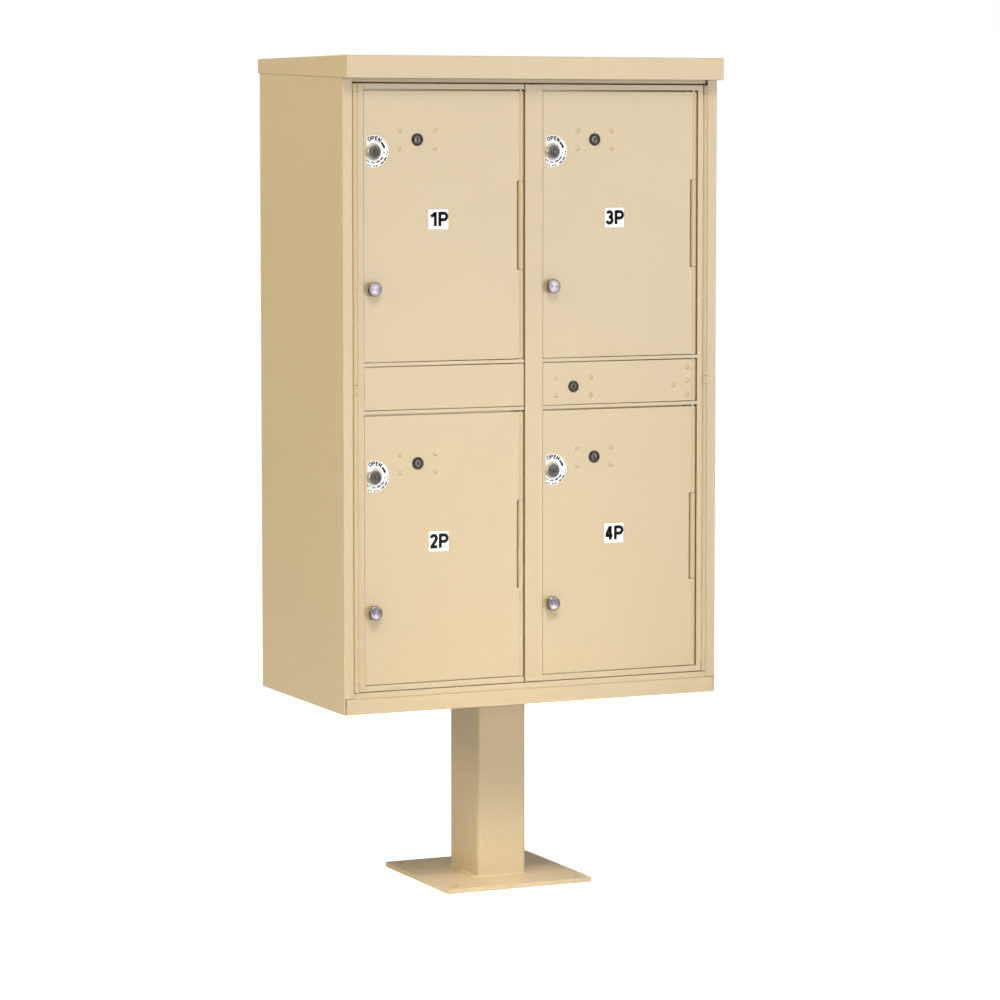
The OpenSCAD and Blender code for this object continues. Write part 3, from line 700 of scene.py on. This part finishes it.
GLYPHS: dict[str, tuple[float, tuple[np.ndarray, ...]]] = {
    "1": (0.56, (line((0.44, 0.0), (0.44, 1.0)), line((0.41, 0.92), (0.27, 0.78), (0.09, 0.69)))),
    "2": (0.56, (np.vstack([arc((0.29, 0.7), (0.2, 0.21), 175, -30), line((0.15, 0.13))]),
                 line((0.02, 0.09), (0.56, 0.09)))),
    "3": (0.56, (np.vstack([arc((0.27, 0.72), (0.18, 0.19), 165, -90), line((0.2, 0.53))]),
                 np.vstack([line((0.2, 0.53)), arc((0.27, 0.31), (0.21, 0.22), 90, -168)]))),
    "4": (0.58, (line((0.4, 0.0), (0.4, 1.0)), line((0.37, 0.93), (0.09, 0.35)),
                 line((0.02, 0.31), (0.58, 0.31)))),
    "P": (0.71, (line((0.09, 0.0), (0.09, 1.0)), P_BOWL)),
    "O": (0.86, (arc((0.43, 0.5), (0.34, 0.41), 90, 450),)),
    "E": (0.62, (line((0.1, 0.0), (0.1, 1.0)), line((0.1, 0.91), (0.6, 0.91)),
                 line((0.1, 0.5), (0.56, 0.5)), line((0.1, 0.09), (0.62, 0.09)))),
    "N": (0.78, (line((0.1, 0.0), (0.1, 1.0)), line((0.12, 0.9), (0.66, 0.1)),
                 line((0.68, 0.0), (0.68, 1.0)))),
}


def stroke(path: np.ndarray, width: float) -> np.ndarray:
    """One stroke of a letter: a flat bar carried along a path, with closed square ends.

    At each point the bar's edges lie half a width to both sides, along the mean of the turns
    before and after it, lengthened by 1 / cos(half turn) so that the bar keeps its width. Both
    ends fold into their middle.

    Args:
        path: the bar's middle line, points (n, 2).
        width: its width, in the path's unit.

    Returns:
        Points (n + 2, 5, 3): two flat coordinates, and 0 on the back or 1 on the front.
    """
    step = np.diff(path, axis=0)
    step /= np.linalg.norm(step, axis=1, keepdims=True)
    before, after = np.vstack([step[:1], step]), np.vstack([step, step[-1:]])
    mean = before + after
    mean /= np.linalg.norm(mean, axis=1, keepdims=True)
    reach = width / 2 / np.maximum((mean * after).sum(axis=1, keepdims=True), 0.5)
    side = np.stack([-mean[:, 1], mean[:, 0]], axis=1) * reach
    left, right = path + side, path - side
    flat = np.stack([left, right, right, left, left], axis=1)
    height = np.broadcast_to(np.array([0.0, 0.0, 1.0, 1.0, 0.0])[:, None], (len(path), 5, 1))
    bar = np.concatenate([flat, height], axis=2)
    middle = np.broadcast_to(bar[[0, -1], :4].mean(axis=1, keepdims=True), (2, 5, 3))
    return np.concatenate([middle[:1], bar, middle[1:]])


def letter_strokes(letter: str, width: float, place: tuple[float, float] = (0.0, 0.0)) -> list[np.ndarray]:
    """The strokes of one letter or figure, in units of its height.

    Args:
        letter: which one.
        width: the strokes' width.
        place: where its lower left corner goes.

    Returns:
        The strokes' points, as stroke() gives them.
    """
    shift = np.array([*place, 0.0])
    return [stroke(path, width) + shift for path in GLYPHS[letter][1]]


def on_front(bars: Sequence[np.ndarray], centre: Place, scale: float, thickness: float) -> list[Surface]:
    """Lays strokes on a front face: x stays x, y is up, and their height points to the front.

    Args:
        bars: the strokes' points.
        centre: the face's point for the strokes' origin.
        scale: metres in one of their units.
        thickness: how far they stand out.

    Returns:
        A grid and a map for each stroke.
    """
    return [(np.stack([centre[0] + bar[..., 0] * scale, centre[1] - bar[..., 2] * thickness,
                       centre[2] + bar[..., 1] * scale], axis=-1), bar[..., :2]) for bar in bars]


# ---- Sheet parts from the CAD nodes ----


@dataclass(frozen=True)
class Edges:
    """How far a sheet part's edges are rounded, in metres."""

    fold: float = 2.4 * MM
    cut: float = 0.45 * MM
    wide: float = 14.0 * MM
    crease: float = 30.0

    def radius(self, edge: bmesh.types.BMEdge) -> float:
        """The radius for one edge: a fold's between two wide faces, or a cut edge's.

        Args:
            edge: an edge of the merged copy.

        Returns:
            The radius, or 0 for an edge that stays as it is.
        """
        if len(edge.link_faces) != 2 or edge.calc_face_angle_signed(0.0) < math.radians(self.crease):
            return 0.0
        reach = min(self.reach(edge, face) for face in edge.link_faces)
        length = edge.calc_length()
        if reach > self.wide and length > self.wide:
            return self.fold
        room = 1.0 if self.runs_on(edge) else 0.3 * length
        return min(self.cut, 0.3 * reach, room)

    @staticmethod
    def runs_on(edge: bmesh.types.BMEdge) -> bool:
        """Tells whether an edge is one step of a curve, with a nearly straight next edge at both ends.

        Args:
            edge: the edge.

        Returns:
            True on a curve.
        """
        along = (edge.verts[1].co - edge.verts[0].co).normalized()
        for vert in edge.verts:
            others = [(o.verts[1].co - o.verts[0].co).normalized() for o in vert.link_edges if o != edge]
            if max((abs(along.dot(other)) for other in others), default=0.0) < math.cos(math.radians(25.0)):
                return False
        return True

    @staticmethod
    def reach(edge: bmesh.types.BMEdge, face: bmesh.types.BMFace) -> float:
        """How far a face runs from one of its edges.

        Args:
            edge: the edge.
            face: a face beside it.

        Returns:
            The largest distance of the face's points from the edge's line.
        """
        start = edge.verts[0].co
        along = (edge.verts[1].co - start).normalized()
        return max(((v.co - start) - along * (v.co - start).dot(along)).length for v in face.verts)


def skin(node: str, edges: Edges = Edges()) -> bpy.types.Object:
    """A merged copy of a CAD node with rounded folds and cut edges.

    Args:
        node: the CAD node's name.
        edges: the radii.

    Returns:
        The copy, named after the node.
    """
    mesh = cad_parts[node].data.copy()
    mesh.name = f"{node}_skin"
    mesh.materials.clear()
    shape = bmesh.new()
    shape.from_mesh(mesh)
    bmesh.ops.remove_doubles(shape, verts=shape.verts, dist=WELD)
    bmesh.ops.dissolve_limit(shape, angle_limit=math.radians(0.3), verts=shape.verts, edges=shape.edges)
    weight = shape.edges.layers.float.new("bevel_weight_edge")
    for edge in shape.edges:
        radius = edges.radius(edge)
        edge[weight] = radius / edges.fold
        turn = edge.calc_face_angle(math.pi) if len(edge.link_faces) == 2 else math.pi
        edge.smooth = radius > 0.0 or turn < math.radians(edges.crease)
    for face in shape.faces:
        face.smooth = True
    shape.to_mesh(mesh)
    shape.free()
    thing = bpy.data.objects.new(f"{node}_skin", mesh)
    bpy.context.scene.collection.objects.link(thing)
    bevel = thing.modifiers.new("rounded_edges", "BEVEL")
    bevel.limit_method = "WEIGHT"
    bevel.width = edges.fold
    bevel.segments = 3
    bevel.use_clamp_overlap = False
    bevel.miter_outer = "MITER_ARC"
    level = thing.modifiers.new("flat_faces", "WEIGHTED_NORMAL")
    level.mode = "FACE_AREA"
    level.weight = 100
    level.keep_sharp = True
    return thing


# ---- Sub-assemblies ----


@dataclass(frozen=True)
class Piece:
    """A finished mesh, with its body, its look and the CAD nodes that it stands for."""

    thing: bpy.types.Object
    body: str
    look: Look
    nodes: tuple[str, ...] = ()


@dataclass
class Assembly:
    """What every sub-assembly shares: its list of pieces, and how they are dressed."""

    pieces: list[Piece] = field(default_factory=list, init=False)

    def keep(self, thing: bpy.types.Object, body: str, look: Look, *nodes: str) -> None:
        """Notes a finished mesh.

        Args:
            thing: the mesh object.
            body: the CAD body that it rides on.
            look: its finish.
            nodes: the CAD nodes that it stands for.
        """
        self.pieces.append(Piece(thing, body, look, nodes))

    def keep_skin(self, node: str, body: str, look: Look, edges: Edges = Edges()) -> None:
        """Notes the rounded copy of a CAD node, which it stands for.

        Args:
            node: the CAD node.
            body: the CAD body that it rides on.
            look: its finish.
            edges: the radii of its edges.
        """
        self.keep(skin(node, edges), body, look, node)

    def dress(self) -> None:
        """Gives every piece its material and its body, and hides the CAD nodes that it stands for."""
        for piece in self.pieces:
            piece.thing.data.materials.clear()
            piece.thing.data.materials.append(SHOP.material(piece.look))
            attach(piece.thing, piece.body)
            if piece.nodes:
                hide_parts(*piece.nodes)
            LOG.info("%s rides on %s in %s", piece.thing.name, piece.body, piece.look.name)


def middle_of(node: str) -> Place:
    """The middle of a CAD node's box.

    Args:
        node: the CAD node.

    Returns:
        Its x, y and z.
    """
    low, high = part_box(node)
    return tuple((low + high) / 2)


@dataclass
class Pedestal(Assembly):
    """The base plate, the post, its top plate, and the beads that weld them."""

    corner: float = 7.0 * MM
    bead: float = 2.6 * MM
    plate_edges: Edges = Edges(fold=0.9 * MM, cut=0.9 * MM)
    post_edges: Edges = Edges(fold=0.6 * MM, cut=0.6 * MM)

    def build(self) -> None:
        """Makes the plates, the post, the bolts and the two weld beads."""
        self.keep_skin("pedestal_base_plate", "root", Look.PAINT, self.plate_edges)
        self.keep_skin("pedestal_post", "root", Look.PAINT, self.post_edges)
        self.keep_skin("pedestal_top_plate", "root", Look.PAINT, self.plate_edges)
        self.keep_skin("cabinet_bolts", "root", Look.ZINC, self.post_edges)
        low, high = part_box("pedestal_post")
        size = (high.x - low.x, high.y - low.y)
        middle = middle_of("pedestal_post")[:2]
        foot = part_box("pedestal_base_plate")[1].z
        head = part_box("pedestal_top_plate")[0].z
        bead = weld_bead(middle, size, self.corner, foot, self.bead, 1)
        self.keep(grid_mesh("post_foot_weld", [bead]), "root", Look.PAINT)
        bead = weld_bead(middle, size, self.corner, head, self.bead, -1)
        self.keep(grid_mesh("post_head_weld", [bead]), "root", Look.PAINT)


@dataclass
class Cabinet(Assembly):
    """The body shell of folded sheet, and the bare walls between the compartments."""

    shell: tuple[str, ...] = ("floor_pan", "back_panel", "sill_rail", "head_rail")
    sides: tuple[str, ...] = ("left_side_panel", "right_side_panel")
    roof_edges: Edges = Edges(fold=1.1 * MM)
    side_edges: Edges = Edges(fold=1.2 * MM)
    leaf_edges: Edges = Edges(fold=0.5 * MM, cut=0.3 * MM)

    def build(self) -> None:
        """Makes the painted shell, the roof, the bare partition and sheets, and the hinge leaves."""
        for node in self.shell:
            self.keep_skin(node, "root", Look.PAINT)
        for node in self.sides:
            self.keep_skin(node, "root", Look.PAINT, self.side_edges)
        self.keep_skin("roof_cap", "root", Look.PAINT, self.roof_edges)
        self.keep_skin("centre_partition", "root", Look.ALUMINIUM, self.leaf_edges)
        self.keep_skin("compartment_shelves", "root", Look.ALUMINIUM, self.leaf_edges)
        self.keep_skin("body_hinge_leaves", "root", Look.PAINT, self.leaf_edges)
        self.keep_skin("loading_door_hinge_pins", "root", Look.ZINC, self.leaf_edges)


class Side(Enum):
    """The two columns of compartments."""

    LEFT = "left"
    RIGHT = "right"


@dataclass
class LoadingDoor(Assembly):
    """One large door: its frame of stiles and rails, its hinge pins and its latch."""

    side: Side
    frame_edges: Edges = Edges(fold=0.8 * MM, cut=0.35 * MM)
    pin_edges: Edges = Edges(fold=0.4 * MM, cut=0.3 * MM)

    def build(self) -> None:
        """Makes the frame, what is fixed in it, and the bar or bolt that latches it."""
        name = self.side.value
        body = f"{name}_loading_door"
        self.keep_skin(f"{name}_door_stiles", body, Look.PAINT, self.frame_edges)
        self.keep_skin(f"{name}_door_rails", body, Look.PAINT, self.frame_edges)
        self.keep_skin(f"{name}_parcel_hinge_pins", body, Look.ZINC, self.pin_edges)
        if self.side is Side.LEFT:
            self.keep_skin("left_middle_panel", body, Look.PAINT, self.frame_edges)
            self.keep_skin("left_slide_bolt", "left_slide_bolt", Look.ZINC, self.pin_edges)
        else:
            self.keep_skin("latch_bar", "latch_bar", Look.ZINC, self.pin_edges)


RIVET_PROFILE = [
    (0.0, 1.5), (1.2, 1.46), (2.4, 1.3), (3.4, 1.0), (4.1, 0.62), (4.55, 0.25), (4.7, 0.0),
    (4.7, -0.05), (2.0, -0.05), (2.0, -3.2), (3.4, -3.3), (3.5, -4.3), (3.1, -4.8), (0.0, -4.9),
]


def rivets(places: Sequence[tuple[float, float]], face: float,
           grip: float) -> list[Surface]:
    """Domed rivets on a door's face.

    Args:
        places: x and z of each.
        face: y of the door's face.
        grip: thickness that they hold, in millimetres.

    Returns:
        One grid for each rivet.
    """
    profile = [(r, h if h > -1.0 else h + 3.2 - grip) for r, h in RIVET_PROFILE]
    return [turned(profile, (x, face, z), 32) for x, z in places]


@dataclass
class ParcelDoor(Assembly):
    """One parcel door with its two locks, its round decal, its number plate and its knob."""

    number: int
    door_edges: Edges = Edges(fold=0.4 * MM, cut=0.4 * MM)
    lock_edges: Edges = Edges(fold=0.35 * MM, cut=0.35 * MM)
    plate_edges: Edges = Edges(fold=0.3 * MM, cut=0.3 * MM)
    rivet_pitch: tuple[float, float] = (71.0 * MM, 33.0 * MM)
    rivet_grip: float = 5.2
    decal_shift: tuple[float, float] = (0.6 * MM, 1.5 * MM)
    decal_radius: float = 29.6 * MM
    decal_hole: float = 15.3 * MM
    decal_cut: float = 13.3 * MM
    film: float = 0.12 * MM
    ink: float = 0.05 * MM
    letter_height: float = 7.8 * MM
    letter_stroke: float = 0.26
    letter_radius: float = 24.3 * MM
    letter_turns: tuple[float, ...] = (-20.0, -3.0, 13.0, 29.5)
    arrow_radius: float = 22.3 * MM
    arrow_span: tuple[float, float] = (41.0, 79.0)
    arrow_half: float = 1.9 * MM
    arrow_head: tuple[float, float] = (5.4 * MM, 3.1 * MM)
    mark_half: float = 1.3 * MM
    mark_rings: tuple[tuple[float, tuple[tuple[float, float], ...]], ...] = (
        (21.0 * MM, ((95, 102), (118, 141), (144, 165), (175, 182), (184, 193), (204, 211), (214, 222))),
        (27.2 * MM, ((90, 96), (100, 106), (112, 131), (133, 150), (163, 171), (174, 182), (190, 197),
                     (200, 208))),
    )
    number_height: float = 26.2 * MM
    number_stroke: float = 0.235
    number_gap: float = 0.14
    number_shift: tuple[float, float] = (0.5 * MM, 0.4 * MM)

    @property
    def body(self) -> str:
        """The CAD body of the door."""
        return f"parcel_door_{self.number}"

    def build(self) -> None:
        """Makes the door and everything on it."""
        self.keep_skin(self.body, self.body, Look.PAINT, self.door_edges)
        self.build_customer_lock()
        self.build_decal()
        self.build_control_lock()
        self.build_knob()
        self.build_number_plate()

    def face(self) -> float:
        """y of the door's front face."""
        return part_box(f"lock_rivets_{self.number}")[0].y + 1.5 * MM

    def build_customer_lock(self) -> None:
        """Makes the lock near the free edge, with a raised rim, a thin black ring of painted shade where the
        groove lies, and an inner ring.
        """
        node = f"customer_lock_{self.number}"
        x, _, z = middle_of(node)
        front = (x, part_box(node)[0].y, z)
        self.keep_skin(node, self.body, Look.LOCK, self.lock_edges)
        rim = [(11.9, -0.3), (11.9, 0.3), (11.6, 0.65), (11.0, 0.8), (10.3, 0.75), (9.9, 0.4), (9.8, -0.3)]
        ring = [(8.5, -0.3), (8.5, 0.35), (8.2, 0.6), (7.6, 0.65), (7.0, 0.5), (6.7, 0.15), (6.6, -0.3)]
        # Painted shade: a thin flat black band between the rim and the inner ring, in place of the groove's
        # shade.
        groove = [(9.9, -0.2), (9.9, 0.12), (8.4, 0.12), (8.4, -0.2)]
        self.keep(grid_mesh(f"customer_lock_{self.number}_rim", [turned(rim, front, closed=True)]),
                  self.body, Look.LOCK_RIM)
        self.keep(grid_mesh(f"customer_lock_{self.number}_groove", [turned(groove, front, closed=True)]),
                  self.body, Look.PAINTED_SHADE)
        self.keep(grid_mesh(f"customer_lock_{self.number}_ring", [turned(ring, front, closed=True)]),
                  self.body, Look.LOCK_RIM)
        door = (x, self.face(), z)
        sleeve = [(14.0, 0.0), (15.0, 0.0), (15.0, 0.8), (14.5, 1.2), (13.9, 3.0), (12.9, 6.6), (12.4, 7.3),
                  (11.9, 7.5)]
        self.keep(grid_mesh(f"customer_lock_{self.number}_sleeve", [turned(sleeve, door, closed=True)]),
                  self.body, Look.WASHER)
        plug = f"customer_plug_{self.number}"
        self.keep_skin(plug, plug, Look.CORE, self.lock_edges)
        nose = (x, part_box(plug)[0].y, z)
        collar = [(6.1, -0.3), (6.1, 1.2), (5.8, 1.6), (5.2, 1.65), (4.9, 1.4), (4.8, -0.3)]
        self.keep(grid_mesh(f"customer_plug_{self.number}_collar", [turned(collar, nose, closed=True)]),
                  plug, Look.CORE)

    def build_decal(self) -> None:
        """Makes the white round film, the bent word, the turning arrow and two rings of marks."""
        x, _, z = middle_of(f"customer_lock_{self.number}")
        centre = (x + self.decal_shift[0], self.face(), z + self.decal_shift[1])
        limit = math.asin(self.decal_cut / self.decal_hole)
        turn = np.linspace(-limit, math.pi + limit, 161)
        left = np.sin(turn) < 0
        slope = np.where(left, np.maximum(-np.sin(turn), 1e-6), 1e-6)
        outer = np.minimum(self.decal_radius, np.maximum(self.decal_cut / slope, self.decal_hole))
        inner = np.full_like(turn, self.decal_hole)
        film = flat_band(centre, turn, inner, outer, self.film)
        self.keep(grid_mesh(f"decal_{self.number}_film", [film], 20.0), self.body, Look.DECAL)
        on_film = (centre[0], centre[1] - self.film, centre[2])
        word = [grid for letter, turn in zip("OPEN", self.letter_turns)
                for grid in self.bent_letter(letter, math.radians(turn), on_film)]
        self.keep(grid_mesh(f"decal_{self.number}_word", word, 20.0), self.body, Look.INK)
        arrow = np.radians(np.linspace(*self.arrow_span, 61))
        left_run = (arrow[-1] - arrow) * self.arrow_radius
        head, flare = self.arrow_head
        half = np.where(left_run < head, flare * left_run / head,
                        round_ended(arrow, self.arrow_radius, self.arrow_half))
        band = flat_band(on_film, arrow, self.arrow_radius - half, self.arrow_radius + half, self.ink)
        self.keep(grid_mesh(f"decal_{self.number}_arrow", [band], 20.0), self.body, Look.INK)
        marks = []
        for radius, spans in self.mark_rings:
            for start, end in spans:
                angle = np.radians(np.linspace(start, end, 13))
                half = round_ended(angle, radius, self.mark_half)
                marks.append(flat_band(on_film, angle, radius - half, radius + half, self.ink))
        self.keep(grid_mesh(f"decal_{self.number}_marks", marks, 20.0), self.body, Look.INK)

    def bent_letter(self, letter: str, turn: float, centre: Place) -> list[Surface]:
        """One letter on the decal's upper arc.

        A letter point (u, v) about its middle goes to the radius R + v at the angle turn + u / R.

        Args:
            letter: the letter.
            turn: its place on the arc, in radians from the top.
            centre: the decal's middle.

        Returns:
            A grid and a map for each stroke.
        """
        bars = letter_strokes(letter, self.letter_stroke, (-GLYPHS[letter][0] / 2, -0.5))
        bent = []
        for bar in bars:
            radius = self.letter_radius + bar[..., 1] * self.letter_height
            angle = turn + bar[..., 0] * self.letter_height / self.letter_radius
            bent.append(np.stack([radius * np.sin(angle), radius * np.cos(angle), bar[..., 2]], axis=-1))
        return on_front(bent, centre, 1.0, self.ink)

    def build_control_lock(self) -> None:
        """Makes the lock between the four rivets, with its two rings, and the rivets."""
        node = f"control_lock_{self.number}"
        x, _, z = middle_of(node)
        front = (x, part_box(node)[0].y, z)
        self.keep_skin(node, self.body, Look.LOCK, self.lock_edges)
        rim = [(11.4, -0.3), (11.3, 0.25), (10.7, 0.55), (9.8, 0.6), (9.1, 0.3), (8.9, -0.3)]
        ring = [(8.0, -0.3), (7.9, 0.3), (7.4, 0.5), (6.9, 0.3), (6.6, -0.3)]
        self.keep(grid_mesh(f"control_lock_{self.number}_rim", [turned(rim, front, closed=True)]),
                  self.body, Look.LOCK)
        self.keep(grid_mesh(f"control_lock_{self.number}_ring", [turned(ring, front, closed=True)]),
                  self.body, Look.LOCK_RIM)
        plug = f"control_plug_{self.number}"
        self.keep_skin(plug, plug, Look.CORE, self.lock_edges)
        places = [(x + i * self.rivet_pitch[0] / 2, z + j * self.rivet_pitch[1] / 2)
                  for i in (-1, 1) for j in (-1, 1)]
        heads = grid_mesh(f"lock_rivets_{self.number}_turned", rivets(places, self.face(), self.rivet_grip))
        self.keep(heads, self.body, Look.PAINT, f"lock_rivets_{self.number}")

    def build_knob(self) -> None:
        """Makes the turned pull knob with a dished face, and the screw that holds it."""
        node = f"pull_knob_{self.number}"
        x, _, z = middle_of(node)
        profile = [
            (0.0, 13.9), (3.0, 13.92), (6.0, 14.0), (8.6, 14.2), (9.6, 14.38), (10.4, 14.5), (11.4, 14.42),
            (12.4, 14.0), (13.0, 13.3), (13.3, 12.4), (13.3, 9.6), (13.15, 8.9), (12.7, 8.2), (11.9, 7.4),
            (10.6, 6.7), (9.0, 6.0), (7.6, 5.2), (6.8, 4.2), (6.5, 3.0), (6.7, 1.8), (7.3, 0.9), (8.0, 0.3),
            (8.0, 0.0), (0.0, 0.0),
        ]
        screw = [
            (0.0, -3.2), (4.6, -3.2), (4.6, -3.5), (4.9, -3.7), (4.9, -5.4), (4.3, -6.1), (2.6, -6.4),
            (1.9, -6.4), (1.5, -5.6), (0.0, -5.6),
        ]
        centre = (x, self.face(), z)
        knob = grid_mesh(f"pull_knob_{self.number}_turned", [turned(profile, centre, 72)], 40.0)
        self.keep(knob, self.body, Look.TURNED, node)
        back = grid_mesh(f"pull_knob_{self.number}_screw", [turned(screw, centre, 32)])
        self.keep(back, self.body, Look.ZINC)

    def build_number_plate(self) -> None:
        """Makes the white plate in its recess, and its black figure and letter."""
        node = f"number_plate_{self.number}"
        self.keep_skin(node, self.body, Look.PLATE, self.plate_edges)
        x, _, z = middle_of(node)
        figure = str(self.number)
        wide = GLYPHS[figure][0] + self.number_gap + GLYPHS["P"][0]
        bars = letter_strokes(figure, self.number_stroke, (-wide / 2, -0.5))
        bars += letter_strokes("P", self.number_stroke, (wide / 2 - GLYPHS["P"][0], -0.5))
        front = (x + self.number_shift[0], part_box(node)[0].y, z + self.number_shift[1])
        words = on_front(bars, front, self.number_height, self.ink)
        self.keep(grid_mesh(f"number_{self.number}", words, 20.0), self.body, Look.INK)


@dataclass
class LockDoor(Assembly):
    """The small door over the latch chamber, with the main lock."""

    door_edges: Edges = Edges(fold=0.4 * MM, cut=0.4 * MM)
    lock_edges: Edges = Edges(fold=0.35 * MM, cut=0.35 * MM)
    rivet_pitch: tuple[float, float] = (73.0 * MM, 33.0 * MM)
    rivet_grip: float = 5.2
    hinge_grip: float = 3.2
    hinge_rivets: tuple[tuple[float, float], ...] = (
        (304.6 * MM, 12.3 * MM), (304.6 * MM, 38.3 * MM), (304.6 * MM, 64.3 * MM), (274.6 * MM, 31.0 * MM),
    )

    def build(self) -> None:
        """Makes the door, its lock and its rivets."""
        body = "lock_door"
        self.keep_skin("lock_door", body, Look.PAINT, self.door_edges)
        self.keep_skin("main_lock_case", body, Look.LOCK, self.lock_edges)
        self.keep_skin("main_lock_plug", "main_lock_plug", Look.CORE, self.lock_edges)
        x, _, z = middle_of("main_lock_case")
        front = (x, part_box("main_lock_case")[0].y, z)
        rim = [(10.7, -0.3), (10.6, 0.25), (10.1, 0.5), (9.4, 0.5), (8.8, 0.25), (8.6, -0.3)]
        ring = [(7.9, -0.3), (7.8, 0.3), (7.3, 0.45), (6.9, 0.3), (6.6, -0.3)]
        self.keep(grid_mesh("main_lock_rim", [turned(rim, front, closed=True)]), body, Look.LOCK)
        self.keep(grid_mesh("main_lock_ring", [turned(ring, front, closed=True)]), body, Look.LOCK_RIM)
        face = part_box("lock_door_rivets")[0].y + 1.5 * MM
        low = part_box("lock_door")[0]
        places = [(x + i * self.rivet_pitch[0] / 2, z + j * self.rivet_pitch[1] / 2)
                  for i in (-1, 1) for j in (-1, 1)]
        heads = rivets(places, face, self.rivet_grip)
        heads += rivets([(low.x + a, low.z + b) for a, b in self.hinge_rivets], face, self.hinge_grip)
        self.keep(grid_mesh("lock_door_rivets_turned", heads), body, Look.PAINT, "lock_door_rivets")


# ---- Studio ----


@dataclass(frozen=True)
class Softbox:
    """A soft light that points at the middle of the cabinet, or at another aim."""

    name: str
    place: Place
    size: tuple[float, float]
    power: float
    colour: Colour = (1.0, 1.0, 1.0)
    aim: Place = (0.0, 0.0, 0.9)
    spread: float = 180.0

    def build(self) -> None:
        """Makes the light, turned to its aim."""
        light = bpy.data.lights.new(self.name, "AREA")
        light.shape = "RECTANGLE"
        light.size, light.size_y = self.size
        light.energy = self.power
        light.color = self.colour
        light.spread = math.radians(self.spread)
        thing = bpy.data.objects.new(self.name, light)
        thing.location = self.place
        away = Vector(self.place) - Vector(self.aim)
        thing.rotation_euler = away.to_track_quat("Z", "Y").to_euler()
        bpy.context.scene.collection.objects.link(thing)


@dataclass
class Studio:
    """The camera, the pale floor, the white surroundings and the lights."""

    eye: Place = (-3.04447, -6.78001, 1.44145)
    yaw: float = 24.3402
    pitch: float = 4.5460
    focal_length: float = 138.89
    shift_up: float = -0.06
    floor_half: float = 120.0
    backdrop: float = 1.0
    surround: float = 0.33
    floor_glow: float = 0.78
    lights: tuple[Softbox, ...] = (
        Softbox("front_softbox", (2.45, -5.6, 1.15), (4.0, 2.2), 152.0, (0.9, 0.93, 1.0)),
        Softbox("high_softbox", (-1.0, -3.7, 5.5), (2.2, 2.2), 170.0),
        Softbox("left_softbox", (-5.5, -0.5, 3.2), (3.0, 3.0), 222.0, (1.0, 0.95, 0.8)),
        Softbox("base_softbox", (-0.35, -1.6, 2.6), (0.7, 0.7), 1.15, aim=(-0.04, -0.16, 0.0), spread=18.0),
    )

    def build(self) -> None:
        """Makes the camera, the floor, the surroundings and the lights."""
        self.build_camera()
        self.build_floor()
        self.build_world()
        for light in self.lights:
            light.build()
        bpy.context.scene.view_settings.view_transform = "Standard"

    def build_world(self) -> None:
        """Makes a white backdrop, with a dimmer white all round that lights the scene."""
        world = bpy.data.worlds.new("white_surround")
        world.use_nodes = True
        tree = world.node_tree
        path = tree.nodes.new("ShaderNodeLightPath")
        strength = tree.nodes.new("ShaderNodeMapRange")
        strength.inputs["To Min"].default_value = self.surround
        strength.inputs["To Max"].default_value = self.backdrop
        tree.links.new(path.outputs["Is Camera Ray"], strength.inputs["Value"])
        background = tree.nodes["Background"]
        background.inputs["Color"].default_value = (1, 1, 1, 1)
        tree.links.new(strength.outputs["Result"], background.inputs["Strength"])
        bpy.context.scene.world = world

    def build_camera(self) -> None:
        """Makes the camera, turned by yaw from +Y and tipped down by the pitch."""
        data = bpy.data.cameras.new("camera")
        data.sensor_width = 36.0
        data.lens = self.focal_length
        data.shift_y = self.shift_up
        camera = bpy.data.objects.new("camera", data)
        camera.location = self.eye
        camera.rotation_euler = (math.radians(90.0 - self.pitch), 0.0, math.radians(-self.yaw))
        bpy.context.scene.collection.objects.link(camera)
        bpy.context.scene.camera = camera

    def build_floor(self) -> None:
        """Makes the pale floor, a flat grid with a matt, faintly mottled skin."""
        line = np.linspace(-self.floor_half, self.floor_half, 9)
        x, y = np.meshgrid(line, line, indexing="ij")
        floor = grid_mesh("floor", [(np.stack([x, y, np.zeros_like(x)], axis=-1), np.stack([x, y], axis=-1))])
        graph = Graph("floor_paper")
        mottle = graph.noise(graph.place(), 3.0, 3)
        colour = graph.blend(graph.spread(mottle, 0, 1), (0.9, 0.9, 0.9), (0.885, 0.885, 0.885))
        seen = graph.add("ShaderNodeLightPath").outputs["Is Camera Ray"]
        floor.data.materials.append(graph.finish(
            Base_Color=colour, Roughness=0.9, Specular_IOR_Level=0.1, Emission_Color=(1, 1, 1, 1),
            Emission_Strength=graph.spread(seen, 0.0, self.floor_glow, 0.0, 1.0)))


def main() -> None:
    """Builds the studio and the sub-assemblies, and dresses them."""
    logging.basicConfig(level=logging.INFO, format="%(name)s: %(message)s")
    Studio().build()
    assemblies: list[Assembly] = [Pedestal(), Cabinet(), *(LoadingDoor(side) for side in Side),
                                  *(ParcelDoor(number) for number in (1, 2, 3, 4)), LockDoor()]
    for assembly in assemblies:
        assembly.build()
        assembly.dress()


if __name__ == "__main__":
    main()
